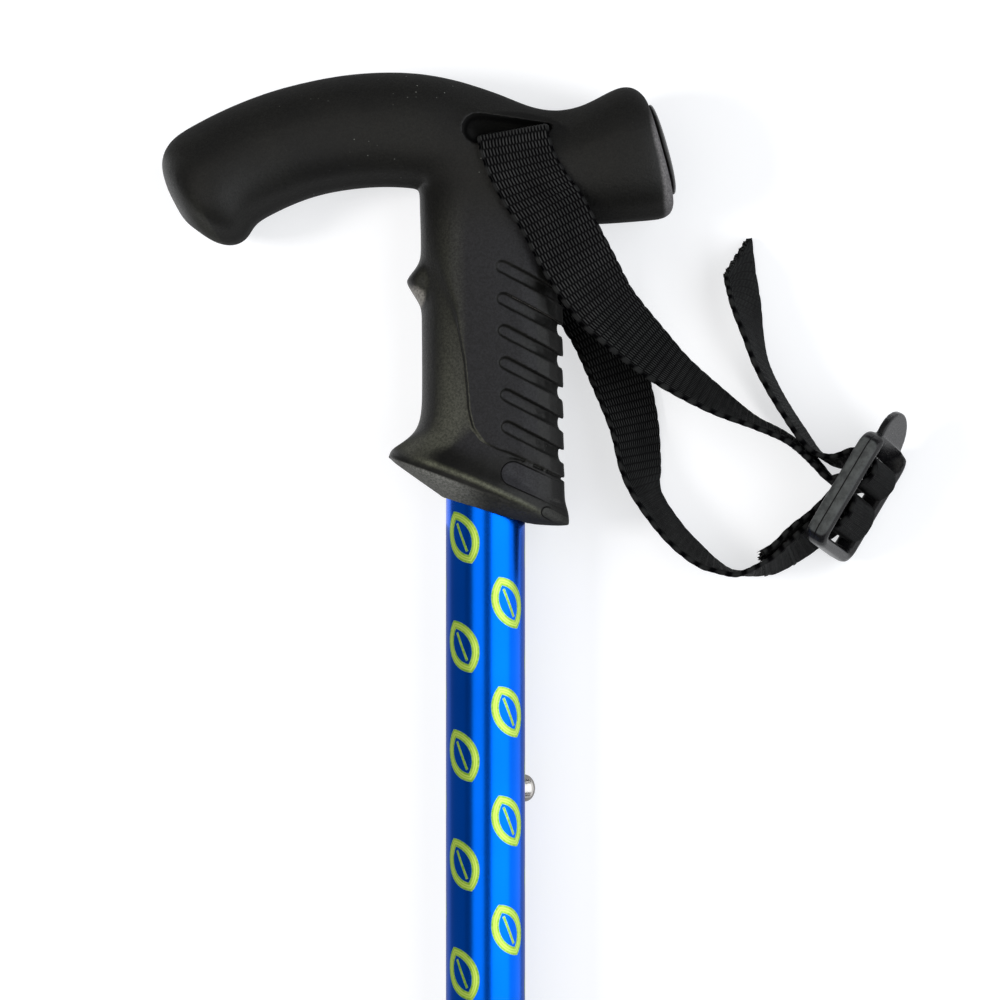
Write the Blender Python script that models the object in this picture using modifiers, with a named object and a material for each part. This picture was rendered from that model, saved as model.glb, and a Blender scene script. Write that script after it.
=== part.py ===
"""Adjustable walking cane with a moulded T handle and a wrist strap, lying on its side.

Units are metres. +Y runs along the shaft from the ferrule's ground face to the handle, +X towards
the handle's short arm and +Z up, away from the surface that the cane lies on. The origin is the
centre of the ferrule's ground face. Handle shapes are given in the handle's own frame, whose
origin lies on the shaft's axis where the tube leaves the handle.
"""

import math

import bmesh
import bpy
from mathutils import Matrix, Vector

# Overall
CANE_LENGTH = 0.762
HANDLE_RISE = 0.1212
SEAT_GAP = 0.0003
RUNNING_GAP = 0.0003

# Tubes
UPPER_TUBE_DIAMETER = 0.022
UPPER_TUBE_WALL = 0.0012
UPPER_TUBE_SHOWN = 0.360
UPPER_TUBE_IN_HANDLE = 0.070
LOWER_TUBE_WALL = 0.0012
TUBE_SEGMENTS = 36
CUTTER_OVERRUN = 0.020

# Height adjustment
HOLE_PITCH = 0.0254
HOLE_COUNT = 7
FIRST_HOLE_BELOW_HANDLE = 0.078
HOLE_ROW_TURN = math.radians(-28.0)
BUTTON_DIAMETER = 0.0076
BUTTON_SEGMENTS = 16
BUTTON_HOLE_GAP = 0.0004
BUTTON_PROUD = 0.0040
BUTTON_DOME_HEIGHT = 0.0027
BUTTON_FLANGE_DIAMETER = 0.0092
BUTTON_FLANGE_THICKNESS = 0.0008
RIVET_DIAMETER = 0.0034
RIVET_HEAD_DIAMETER = 0.0056
RIVET_HEAD_THICKNESS = 0.0006
SPRING_THICKNESS = 0.0007
SPRING_WIDTH = 0.0085
SPRING_LENGTH = 0.042
SPRING_END_PAST_BUTTON = 0.007
SPRING_STRAIGHT_PAST_BUTTON = 0.0084
SPRING_BEND_RADIUS = 0.0027
TUBE_ABOVE_BUTTON = 0.030
BUSH_SEGMENTS = 28
GUIDE_RIM_HEIGHT = 0.005
GUIDE_LEAD_IN = 0.0012
GUIDE_SPIGOT_LENGTH = 0.012
GUIDE_SPIGOT_WALL = 0.0016
GUIDE_RUNNING_GAP = 0.00015

# Collet and lock collar
COLLET_ON_TUBE = 0.016
COLLET_BELOW_TUBE = 0.011
COLLET_WALL = 0.0017
COLLET_SLIT_WIDTH = 0.0013
COLLET_SLIT_LENGTH = 0.009
COLLET_RIM_HEIGHT = 0.004
COLLET_RIM_PROUD = 0.0014
COLLET_RIM_CHAMFER = 0.0007
COLLET_TAPER_LENGTH = 0.006
COLLET_TAPER_DEPTH = 0.0012
COLLAR_WALL = 0.0022
COLLAR_END_LENGTH = 0.005
COLLAR_SEGMENTS = 42
COLLAR_FLUTES = 14
COLLAR_FLUTE_RADIUS = 0.0016
COLLAR_FLUTE_DEPTH = 0.0009
COLLAR_FLUTE_MARGIN = 0.0022
COLLAR_TOP_CHAMFER = 0.0006
COLLAR_FOOT_CHAMFER = 0.0016
COLLAR_FOOT_CHAMFER_HEIGHT = 0.0033

# Ferrule
FERRULE_FOOT_DIAMETER = 0.034
FERRULE_NECK_DIAMETER = 0.0246
FERRULE_HEIGHT = 0.046
FERRULE_FOOT_HEIGHT = 0.007
FERRULE_FLOOR = 0.009
FERRULE_BEAD_PROUD = 0.0012
FERRULE_BEAD_HEIGHT = 0.0030
FERRULE_BEADS = 2
FERRULE_FLARE_POWER = 2.2
FERRULE_EDGE_CHAMFER = 0.0010
SOLE_GROOVE_DEPTH = 0.0015
SOLE_GROOVE_WIDTH = 0.0018
SOLE_GROOVE_RADII = (0.0055, 0.0095, 0.0135)
FERRULE_SEGMENTS = 28
WASHER_THICKNESS = 0.0015
WASHER_BORE_DIAMETER = 0.0064

# Handle
BAR_HALF_DEPTH = 0.0146
GRIP_WALL = 0.0017
PANEL_PROUD = 0.0009
PAD_SUNK = 0.00035
GROOVE_WIDTH = 0.0032
GROOVE_PITCH = 0.0088
GROOVE_LENGTH = 0.034
GROOVE_COUNT = 6
GROOVE_END_STEP = 0.0003
GROOVE_SLOPE = math.radians(-27.0)
SLOT_BIG_END = (-0.0089, 0.0017)
SLOT_BIG_RADIUS = 0.0042
SLOT_SMALL_END = (0.0101, 0.0022)
SLOT_SMALL_RADIUS = 0.0015
SLOT_FROM_SHAFT = 0.0068
SLOT_BELOW_TOP = 0.0165
SLOT_POCKET_HALF_DEPTH = 0.0070
SLOT_WAIST_ASIDE = 0.0007
SLOT_WAIST_ABOVE = 0.0005
SLOT_WAIST_SLOPE = math.radians(10.0)
SLOT_WAIST_HALF_DEPTH = 0.0040
SLOT_WAIST_GAP = 0.0004
SLOT_WAIST_RADIUS = 0.0005
CAP_THICKNESS = 0.0021
CAP_EDGE_HEIGHT = 0.0009
CAP_EDGE_INSET = 0.0002
CAP_DOME_SWEEP = math.radians(64.0)
CAP_SPIGOT_LENGTH = 0.007
CAP_SPIGOT_INSET = 0.0060
RING_POINTS = 28
PANEL_RING_POINTS = 24
END_RING_POINTS = 28
NUB_RING_POINTS = 16

# Wrist strap and buckle
STRAP_WIDTH = 0.0195
STRAP_THICKNESS = 0.0016
STRAP_HANDLE_GAP = 0.0004
BUCKLE_LENGTH = 0.0352
BUCKLE_WIDTH = 0.0279
BUCKLE_THICKNESS = 0.0066
BUCKLE_BEVEL = 0.0016
BUCKLE_CORNER_RADIUS = 0.0048
BUCKLE_WINDOW_RADIUS = 0.0012
BUCKLE_SLOT_SIDE_GAP = 0.0006
BUCKLE_END_BAR = 0.0036
BUCKLE_TAB_BAR = 0.0050
BUCKLE_BAR = 0.0044
BUCKLE_BAR_HEIGHT = 0.0026
BUCKLE_BAR_PLACES = (-0.0055, 0.0071)
LOOP_SLACK = 0.0008
LOOP_CROWN_HEIGHT = 0.0040
LOOP_SHOULDER_HEIGHT = 0.0029
LOOP_SHOULDER_INSET = 0.0010
LOOP_SIDE_HEIGHT = 0.0004
LOOP_MOUTH_DEPTH = 0.0030
TAB_LENGTH = 0.0108
TAB_WIDTH = 0.0184
TAB_THICKNESS = 0.0022
TAB_BEVEL = 0.0004
TAB_STRAIGHT = 0.0027
TAB_TILT = math.radians(-7.0)

# Sizes that follow from the ones above
UPPER_RADIUS = UPPER_TUBE_DIAMETER / 2
UPPER_BORE = UPPER_RADIUS - UPPER_TUBE_WALL
LOWER_RADIUS = UPPER_BORE - RUNNING_GAP
LOWER_BORE = LOWER_RADIUS - LOWER_TUBE_WALL
LYING_HEIGHT = FERRULE_FOOT_DIAMETER / 2
HANDLE_Y = CANE_LENGTH - HANDLE_RISE
BUTTON_Y = HANDLE_Y - FIRST_HOLE_BELOW_HANDLE
UPPER_TUBE_END_Y = HANDLE_Y - UPPER_TUBE_SHOWN
LOWER_TUBE_START_Y = FERRULE_FLOOR + WASHER_THICKNESS + 2 * SEAT_GAP
LOWER_TUBE_END_Y = BUTTON_Y + TUBE_ABOVE_BUTTON
GRIP_HALF_DEPTH = UPPER_RADIUS + SEAT_GAP + GRIP_WALL
BUTTON_AXIS = Vector((math.cos(HOLE_ROW_TURN), 0.0, math.sin(HOLE_ROW_TURN)))
SLOT_CENTRE = Vector((SLOT_FROM_SHAFT, HANDLE_RISE - SLOT_BELOW_TOP, 0.0))


def clear_scene():
    """Removes every object that the file opened with."""
    for old in list(bpy.data.objects):
        bpy.data.objects.remove(old, do_unlink=True)


def collection(name):
    """Makes a collection in the scene."""
    made = bpy.data.collections.new(name)
    bpy.context.scene.collection.children.link(made)
    return made


def material(name, colour, roughness, metallic=0.0):
    """A plain Principled finish for one sub-part."""
    made = bpy.data.materials.new(name)
    made.use_nodes = True
    shader = made.node_tree.nodes["Principled BSDF"]
    shader.inputs["Base Color"].default_value = (*colour, 1.0)
    shader.inputs["Roughness"].default_value = roughness
    shader.inputs["Metallic"].default_value = metallic
    return made


def shade(mesh, angle=35.0):
    """Smooth shading with sharp edges past an angle in degrees."""
    mesh.shade_smooth()
    mesh.set_sharp_from_angle(angle=math.radians(angle))


def add(name, mesh, finish, parent=None):
    """Links a mesh to the scene as a sub-part with its finish."""
    shade(mesh)
    made = bpy.data.objects.new(name, mesh)
    PARTS.objects.link(made)
    made.data.materials.append(finish)
    made.parent = parent
    return made


def helper(name, mesh, parent=None):
    """Links a mesh to the scene as a cutter or guide, which isn't a sub-part."""
    made = bpy.data.objects.new(name, mesh)
    CUTTERS.objects.link(made)
    made.hide_render = True
    made.display_type = "WIRE"
    made.parent = parent
    return made


def combine(target, other, operation):
    """Adds an exact Boolean of another object to the target."""
    step = target.modifiers.new(operation.lower() + " " + other.name, "BOOLEAN")
    step.operation = operation
    step.solver = "EXACT"
    step.object = other


def turned_mesh(name, profile):
    """A closed profile of (radius, height) points, turned about Z with a Screw modifier."""
    mesh = bpy.data.meshes.new(name)
    points = [(radius, 0.0, height) for radius, height in profile]
    on_axis = profile[0][0] == 0.0 and profile[-1][0] == 0.0
    edges = [(i, i + 1) for i in range(len(points) - 1)]
    if not on_axis:
        edges.append((len(points) - 1, 0))
    mesh.from_pydata(points, edges, [])
    return mesh


def turn(made, segments):
    """Gives a profile object its Screw modifier."""
    screw = made.modifiers.new("turn", "SCREW")
    screw.axis = "Z"
    screw.angle = 2 * math.pi
    screw.steps = segments
    screw.render_steps = segments
    screw.use_merge_vertices = True
    screw.merge_threshold = 0.00001
    screw.use_smooth_shade = True


def turned(name, profile, finish, y=0.0, segments=TUBE_SEGMENTS, parent=None):
    """A sub-part turned about the shaft's axis, its profile's height measured along +Y from y."""
    made = add(name, turned_mesh(name, profile), finish, parent)
    turn(made, segments)
    made.rotation_euler = (-math.pi / 2, 0.0, 0.0)
    made.location = (0.0, y, 0.0)
    return made


def cylinder_helper(name, radius, length, segments=16):
    """A round cutter about Z, centred on its own origin."""
    mesh = bpy.data.meshes.new(name)
    shape = bmesh.new()
    bmesh.ops.create_cone(
        shape, cap_ends=True, segments=segments, radius1=radius, radius2=radius, depth=length
    )
    shape.to_mesh(mesh)
    shape.free()
    return helper(name, mesh)


def box_helper(name, size):
    """A box cutter centred on its own origin."""
    mesh = bpy.data.meshes.new(name)
    shape = bmesh.new()
    bmesh.ops.create_cube(shape, size=1.0)
    bmesh.ops.scale(shape, vec=Vector(size), verts=shape.verts)
    shape.to_mesh(mesh)
    shape.free()
    return helper(name, mesh)


def outline_mesh(name, outlines, half_thickness, bevel=0.0):
    """A flat outline, with holes for any further loops, extruded to both sides of its plane."""
    curve = bpy.data.curves.new(name, "CURVE")
    curve.dimensions = "2D"
    curve.fill_mode = "BOTH"
    curve.extrude = half_thickness - bevel
    curve.bevel_depth = bevel
    curve.bevel_resolution = 1
    curve.offset = -bevel
    for points in outlines:
        spline = curve.splines.new("POLY")
        spline.points.add(len(points) - 1)
        for slot, (x, y) in zip(spline.points, points):
            slot.co = (x, y, 0.0, 1.0)
        spline.use_cyclic_u = True
    drawn = bpy.data.objects.new(name, curve)
    bpy.context.scene.collection.objects.link(drawn)
    seen = drawn.evaluated_get(bpy.context.evaluated_depsgraph_get())
    mesh = bpy.data.meshes.new_from_object(seen)
    bpy.data.objects.remove(drawn, do_unlink=True)
    shape = bmesh.new()
    shape.from_mesh(mesh)
    bmesh.ops.remove_doubles(shape, verts=shape.verts, dist=0.00001)
    bmesh.ops.recalc_face_normals(shape, faces=shape.faces)
    shape.to_mesh(mesh)
    shape.free()
    mesh.name = name
    return mesh


def arc(centre, radius, start, end, steps):
    """Points on an arc, its angles in degrees."""
    points = []
    for i in range(steps + 1):
        angle = math.radians(start + (end - start) * i / steps)
        points.append((centre[0] + radius * math.cos(angle), centre[1] + radius * math.sin(angle)))
    return points


def stadium(length, height, steps=8):
    """A slot's outline with round ends, centred, its length along X."""
    reach = (length - height) / 2
    radius = height / 2
    return arc((reach, 0.0), radius, -90, 90, steps) + arc((-reach, 0.0), radius, 90, 270, steps)


def rounded_rectangle(half_x, half_y, radius, steps):
    """A centred rectangle's outline with round corners, run anticlockwise."""
    x = half_x - radius
    y = half_y - radius
    points = arc((x, -y), radius, -90, 0, steps)
    points += arc((x, y), radius, 0, 90, steps)
    points += arc((-x, y), radius, 90, 180, steps)
    points += arc((-x, -y), radius, 180, 270, steps)
    return points


def loft_mesh(name, rings):
    """A closed skin through rings of equal point counts, capped at both ends."""
    mesh = bpy.data.meshes.new(name)
    shape = bmesh.new()
    rows = [[shape.verts.new(point) for point in ring] for ring in rings]
    count = len(rows[0])
    for low, high in zip(rows, rows[1:]):
        for i in range(count):
            j = (i + 1) % count
            shape.faces.new((low[i], low[j], high[j], high[i]))
    shape.faces.new(rows[0])
    shape.faces.new(rows[-1])
    bmesh.ops.recalc_face_normals(shape, faces=shape.faces)
    shape.to_mesh(mesh)
    shape.free()
    return mesh


def smooth_rows(rows, per_span):
    """Rows of numbers read from a smooth curve through the given rows."""
    filled = []
    for i in range(len(rows) - 1):
        before = rows[max(i - 1, 0)]
        start = rows[i]
        end = rows[i + 1]
        after = rows[min(i + 2, len(rows) - 1)]
        for step in range(per_span):
            t = step / per_span
            filled.append(
                tuple(
                    0.5
                    * (
                        2 * s
                        + (e - b) * t
                        + (2 * b - 5 * s + 4 * e - a) * t * t
                        + (3 * s - b - 3 * e + a) * t * t * t
                    )
                    for b, s, e, a in zip(before, start, end, after)
                )
            )
    filled.append(tuple(rows[-1]))
    return filled


def oval_ring(x0, y0, x1, y1, half_depth, power, count=RING_POINTS):
    """A superellipse from (x0, y0) to (x1, y1) and half_depth to each side of the XY plane."""
    middle = Vector(((x0 + x1) / 2, (y0 + y1) / 2, 0.0))
    reach = Vector(((x0 - x1) / 2, (y0 - y1) / 2, 0.0))
    ring = []
    for i in range(count):
        angle = 2 * math.pi * i / count
        along = math.copysign(abs(math.cos(angle)) ** (2 / power), math.cos(angle))
        across = math.copysign(abs(math.sin(angle)) ** (2 / power), math.sin(angle))
        ring.append(middle + reach * along + Vector((0.0, 0.0, half_depth * across)))
    return ring


def oval_loft(name, stations, per_span=2, count=RING_POINTS):
    """A loft through superellipse stations of (x0, y0, x1, y1, half_depth, power)."""
    rings = [oval_ring(*row, count=count) for row in smooth_rows(stations, per_span)]
    return loft_mesh(name, rings)


# Handle


def from_top(*rows, heights=(1, 3)):
    """Rows whose heights are measured from the handle's top, turned to heights from its foot."""
    raised = []
    for row in rows:
        values = list(row)
        for column in heights:
            values[column] += HANDLE_RISE
        raised.append(tuple(values))
    return tuple(raised)


BAR_STATIONS = from_top(
    (-0.0846, -0.0396, -0.0828, -0.0419, 0.0022, 2.0),
    (-0.0878, -0.0334, -0.0796, -0.0443, LYING_HEIGHT - 0.0082, 2.0),
    (-0.0892, -0.0294, -0.0760, -0.0467, LYING_HEIGHT - 0.0044, 2.0),
    (-0.0899, -0.0254, -0.0724, -0.0480, LYING_HEIGHT - 0.0018, 2.1),
    (-0.0889, -0.0215, -0.0690, -0.0479, LYING_HEIGHT - 0.0005, 2.1),
    (-0.0860, -0.0179, -0.0660, -0.0459, LYING_HEIGHT, 2.1),
    (-0.0800, -0.0142, -0.0638, -0.0422, LYING_HEIGHT - 0.0004, 2.1),
    (-0.0712, -0.0098, -0.0588, -0.0392, BAR_HALF_DEPTH + 0.0011, 2.1),
    (-0.0613, -0.0059, -0.0520, -0.0361, BAR_HALF_DEPTH + 0.0006, 2.1),
    (-0.0513, -0.0031, -0.0445, -0.0337, BAR_HALF_DEPTH + 0.0002, 2.2),
    (-0.0400, -0.0009, -0.0350, -0.0322, BAR_HALF_DEPTH, 2.2),
    (-0.0290, 0.0000, -0.0260, -0.0318, BAR_HALF_DEPTH, 2.2),
    (-0.0180, -0.0004, -0.0170, -0.0326, BAR_HALF_DEPTH, 2.3),
    (-0.0070, -0.0025, -0.0070, -0.0347, BAR_HALF_DEPTH, 2.3),
    (0.0040, -0.0061, 0.0040, -0.0377, BAR_HALF_DEPTH, 2.3),
    (0.0125, -0.0095, 0.0130, -0.0401, BAR_HALF_DEPTH, 2.3),
    (0.0198, -0.0106, 0.0200, -0.0415, BAR_HALF_DEPTH + 0.0002, 2.3),
    (0.0268, -0.0092, 0.0270, -0.0422, BAR_HALF_DEPTH + 0.0007, 2.3),
    (0.0330, -0.0061, 0.0340, -0.0420, LYING_HEIGHT - 0.0006, 2.3),
    (0.0372, -0.0042, 0.0395, -0.0416, LYING_HEIGHT - 0.0001, 2.4),
    (0.0402, -0.0041, 0.0455, -0.0411, LYING_HEIGHT, 2.4),
    (0.0424, -0.0053, 0.0494, -0.0406, LYING_HEIGHT - 0.0002, 2.4),
    (0.0438, -0.0068, 0.0516, -0.0391, LYING_HEIGHT - 0.0008, 2.4),
    (0.0446, -0.0079, 0.0523, -0.0369, LYING_HEIGHT - 0.0019, 2.4),
    (0.0446, -0.0089, 0.0518, -0.0343, LYING_HEIGHT - 0.0035, 2.4),
)

GRIP_STATIONS = (
    (-0.0118, 0.0032, 0.0128, -0.0043, UPPER_RADIUS + 0.0014, 2.0),
    (-0.0254, 0.0128, 0.0222, -0.0048, LYING_HEIGHT - 0.0010, 2.1),
    (-0.0268, 0.0144, 0.0232, -0.0037, LYING_HEIGHT - 0.0002, 2.1),
    (-0.0270, 0.0157, 0.0234, -0.0018, LYING_HEIGHT, 2.1),
    (-0.0257, 0.0170, 0.0227, 0.0006, GRIP_HALF_DEPTH + 0.0036, 2.1),
    (-0.0220, 0.0194, 0.0213, 0.0036, GRIP_HALF_DEPTH + 0.0019, 2.2),
    (-0.0193, 0.0223, 0.0206, 0.0078, GRIP_HALF_DEPTH + 0.0008, 2.2),
    (-0.0181, 0.0262, 0.0203, 0.0134, GRIP_HALF_DEPTH + 0.0002, 2.2),
    (-0.0178, 0.0320, 0.0201, 0.0220, GRIP_HALF_DEPTH, 2.2),
    (-0.0178, 0.0430, 0.0200, 0.0360, GRIP_HALF_DEPTH, 2.2),
) + from_top(
    (-0.0179, -0.0662, 0.0199, -0.0712, GRIP_HALF_DEPTH, 2.25),
    (-0.0181, -0.0552, 0.0201, -0.0587, GRIP_HALF_DEPTH + 0.0002, 2.4),
    (-0.0181, -0.0452, 0.0212, -0.0492, GRIP_HALF_DEPTH + 0.0006, 2.6),
    (-0.0184, -0.0352, 0.0232, -0.0422, BAR_HALF_DEPTH - 0.0009, 2.6),
    (-0.0182, -0.0287, 0.0222, -0.0342, BAR_HALF_DEPTH - 0.0006, 2.5),
    (-0.0170, -0.0227, 0.0190, -0.0262, BAR_HALF_DEPTH - 0.0005, 2.4),
    (-0.0150, -0.0177, 0.0120, -0.0202, BAR_HALF_DEPTH - 0.0008, 2.3),
    (-0.0120, -0.0142, 0.0060, -0.0157, BAR_HALF_DEPTH - 0.0030, 2.2),
)

PANEL_STATIONS = (
    (-0.0150, 0.0120, 0.0222, -0.0010, GRIP_HALF_DEPTH + PANEL_PROUD + 0.0002, 2.9),
    (-0.0165, 0.0240, 0.0219, 0.0130, GRIP_HALF_DEPTH + PANEL_PROUD, 2.9),
    (-0.0165, 0.0370, 0.0217, 0.0270, GRIP_HALF_DEPTH + PANEL_PROUD, 2.9),
) + from_top(
    (-0.0165, -0.0692, 0.0216, -0.0762, GRIP_HALF_DEPTH + PANEL_PROUD, 2.9),
    (-0.0168, -0.0532, 0.0216, -0.0582, GRIP_HALF_DEPTH + PANEL_PROUD, 2.9),
    (-0.0170, -0.0422, 0.0226, -0.0472, GRIP_HALF_DEPTH + PANEL_PROUD + 0.0002, 2.9),
    (-0.0165, -0.0332, 0.0240, -0.0402, GRIP_HALF_DEPTH + PANEL_PROUD + 0.0004, 2.9),
    (-0.0120, -0.0242, 0.0200, -0.0312, GRIP_HALF_DEPTH + PANEL_PROUD + 0.0002, 2.9),
)

PANEL_OUTLINE = from_top(
    (0.0300, -0.0312),
    (0.0060, -0.0252),
    (-0.0142, -0.0307),
    (-0.0152, -0.0392),
    (-0.0146, -0.0472),
    (-0.0129, -0.0545),
    (-0.0113, -0.0595),
    (-0.0088, -0.0656),
    (-0.0071, -0.0729),
    heights=(1,),
) + (
    (-0.0057, 0.0403),
    (-0.0050, 0.0336),
    (-0.0045, 0.0270),
    (-0.0034, 0.0225),
    (-0.0009, 0.0189),
    (0.0030, 0.0167),
    (0.0068, 0.0154),
    (0.0124, 0.0128),
    (0.0201, 0.0093),
    (0.0280, 0.0058),
)

PAD_OUTLINE = (
    (0.0300, 0.0040),
    (0.0201, 0.0085),
    (0.0124, 0.0121),
    (0.0092, 0.0136),
    (0.0066, 0.0138),
    (0.0046, 0.0124),
    (0.0041, 0.0103),
    (0.0052, 0.0083),
    (0.0085, 0.0065),
    (0.0135, 0.0043),
    (0.0200, 0.0022),
    (0.0300, -0.0005),
)

NUB_STATIONS = from_top(
    (-0.0170, -0.0487, -0.0100, -0.0487, 0.0040, 2.0),
    (-0.0179, -0.0510, -0.0100, -0.0510, 0.0054, 2.2),
    (-0.0187, -0.0532, -0.0100, -0.0532, 0.0063, 2.4),
    (-0.0201, -0.0552, -0.0100, -0.0552, 0.0069, 2.5),
    (-0.0216, -0.0569, -0.0100, -0.0569, 0.0072, 2.6),
    (-0.0222, -0.0581, -0.0100, -0.0581, 0.0073, 2.6),
    (-0.0216, -0.0595, -0.0100, -0.0595, 0.0072, 2.6),
    (-0.0200, -0.0619, -0.0100, -0.0619, 0.0068, 2.4),
    (-0.0184, -0.0646, -0.0100, -0.0646, 0.0060, 2.2),
    (-0.0170, -0.0672, -0.0100, -0.0672, 0.0048, 2.0),
)

FIRST_GROOVE_END = Vector((0.0030, HANDLE_RISE - 0.0540))


def bar_end():
    """Centre, half-height, half-depth and frame of the flat end of the handle's short arm."""
    x0, y0, x1, y1, half_depth, power = BAR_STATIONS[-1]
    top = Vector((x0, y0, 0.0))
    foot = Vector((x1, y1, 0.0))
    along = (top - foot).normalized()
    outward = Vector((along.y, -along.x, 0.0))
    return (top + foot) / 2, (top - foot).length / 2, half_depth, power, along, outward


def end_ring(inset, out, share=1.0):
    """The short arm's end outline, drawn in by an inset and a share and moved outwards."""
    centre, half_height, half_depth, power, along, outward = bar_end()
    place = centre + outward * out
    reach = along * ((half_height - inset) * share)
    top = place + reach
    foot = place - reach
    depth = (half_depth - inset) * share
    return oval_ring(top.x, top.y, foot.x, foot.y, depth, power, END_RING_POINTS)


def groove_outline(index):
    """One side groove: a straight channel with a round end, running past the grip's back."""
    slot = stadium(GROOVE_LENGTH, GROOVE_WIDTH, 5)
    turn_by = Matrix.Rotation(GROOVE_SLOPE, 2)
    start = FIRST_GROOVE_END + Vector((GROOVE_END_STEP * index, -GROOVE_PITCH * index))
    middle = start + turn_by @ Vector((GROOVE_LENGTH / 2, 0.0))
    return [tuple(middle + turn_by @ Vector(point)) for point in slot]


def slot_mouth():
    """The slot's opening: a teardrop, one big round end and one small, joined by straight sides."""
    big = Vector(SLOT_BIG_END)
    small = Vector(SLOT_SMALL_END)
    axis = small - big
    slope = math.degrees(math.atan2(axis.y, axis.x))
    lean = math.degrees(math.asin((SLOT_BIG_RADIUS - SLOT_SMALL_RADIUS) / axis.length))
    points = arc(small, SLOT_SMALL_RADIUS, slope + lean - 90, slope - lean + 90, 7)
    return points + arc(big, SLOT_BIG_RADIUS, slope - lean + 90, slope + lean + 270, 7)


def slot_rings():
    """The strap's slot from face to face: a pocket at each face and a waist that fits the strap."""
    half_x = STRAP_WIDTH / 2 + SLOT_WAIST_GAP
    half_y = STRAP_THICKNESS / 2 + SLOT_WAIST_GAP
    place = Vector((SLOT_WAIST_ASIDE, SLOT_WAIST_ABOVE))
    turn_by = Matrix.Rotation(SLOT_WAIST_SLOPE, 2)
    corners = rounded_rectangle(half_x, half_y, SLOT_WAIST_RADIUS, 3)
    waist = [place + turn_by @ Vector(point) for point in corners]
    mouth = slot_mouth()
    levels = (
        (mouth, -LYING_HEIGHT),
        (mouth, -SLOT_POCKET_HALF_DEPTH),
        (waist, -SLOT_WAIST_HALF_DEPTH),
        (waist, SLOT_WAIST_HALF_DEPTH),
        (mouth, SLOT_POCKET_HALF_DEPTH),
        (mouth, LYING_HEIGHT),
    )
    return [[(x, y, z) for x, y in outline] for outline, z in levels]


def make_handle(frame, finish):
    """The moulded handle: T bar, grip with raised grooved panels, finger nub and base flange."""
    through = LYING_HEIGHT * 2
    body = add("handle_body", oval_loft("handle_body", BAR_STATIONS), finish, frame)
    grip = helper("grip_form", oval_loft("grip_form", GRIP_STATIONS), frame)
    nub = helper("nub_form", oval_loft("nub_form", NUB_STATIONS, 1, NUB_RING_POINTS), frame)
    panel = helper("panel_form", oval_loft("panel_form", PANEL_STATIONS, 2, PANEL_RING_POINTS), frame)
    pad = helper("pad_form", panel.data.copy(), frame)
    pad.scale = (1.0, 1.0, 1.0 - PAD_SUNK / (GRIP_HALF_DEPTH + PANEL_PROUD))
    for piece, points in ((panel, PANEL_OUTLINE), (pad, PAD_OUTLINE)):
        name = piece.name + "_outline"
        outline = helper(name, outline_mesh(name, [points], through), frame)
        combine(piece, outline, "INTERSECT")
    for index in range(GROOVE_COUNT):
        name = "groove_%d" % index
        groove = helper(name, outline_mesh(name, [groove_outline(index)], through), frame)
        combine(panel, groove, "DIFFERENCE")
    combine(body, grip, "UNION")
    combine(body, nub, "UNION")
    combine(body, panel, "UNION")
    combine(body, pad, "UNION")

    slot = helper("slot_cutter", loft_mesh("slot_cutter", slot_rings()), frame)
    slot.location = SLOT_CENTRE
    combine(body, slot, "DIFFERENCE")

    bore_top = UPPER_TUBE_IN_HANDLE + SEAT_GAP
    bore_length = bore_top + CUTTER_OVERRUN
    bore = cylinder_helper("tube_bore", UPPER_RADIUS + SEAT_GAP, bore_length, TUBE_SEGMENTS)
    bore.parent = frame
    bore.rotation_euler = (-math.pi / 2, 0.0, 0.0)
    bore.location = (0.0, (bore_top - CUTTER_OVERRUN) / 2, 0.0)
    combine(body, bore, "DIFFERENCE")

    pocket_inset = CAP_SPIGOT_INSET - SEAT_GAP
    pocket_rings = [
        end_ring(pocket_inset, -CAP_SPIGOT_LENGTH - SEAT_GAP),
        end_ring(pocket_inset, CUTTER_OVERRUN),
    ]
    pocket = helper("cap_pocket", loft_mesh("cap_pocket", pocket_rings), frame)
    combine(body, pocket, "DIFFERENCE")


def make_end_cap(frame, finish):
    """The domed cap that closes the short arm's end, with the spigot that holds it."""
    rings = [
        end_ring(CAP_SPIGOT_INSET, -CAP_SPIGOT_LENGTH),
        end_ring(CAP_SPIGOT_INSET, SEAT_GAP),
        end_ring(CAP_EDGE_INSET, SEAT_GAP),
    ]
    steps = 4
    for i in range(steps + 1):
        angle = CAP_DOME_SWEEP * i / steps
        rise = (CAP_THICKNESS - CAP_EDGE_HEIGHT) * math.sin(angle) / math.sin(CAP_DOME_SWEEP)
        rings.append(end_ring(CAP_EDGE_INSET, CAP_EDGE_HEIGHT + rise, math.cos(angle)))
    return add("handle_end_cap", loft_mesh("handle_end_cap", rings), finish, frame)


# Telescopic tubes


def tube_profile(outer, inner, length):
    """A plain tube's wall, from its top at the given length down to 0."""
    return [(outer, length), (outer, 0.0), (inner, 0.0), (inner, length)]


def hole_cutters(name, radius, outer, places):
    """Round cutters along the button's axis, one for each place along the shaft."""
    cutters = []
    for number, y in enumerate(places):
        cutter = cylinder_helper("%s_%d" % (name, number), radius, outer)
        cutter.rotation_euler = (0.0, math.pi / 2 - HOLE_ROW_TURN, 0.0)
        cutter.location = BUTTON_AXIS * outer + Vector((0.0, y, 0.0))
        cutters.append(cutter)
    return cutters


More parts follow.
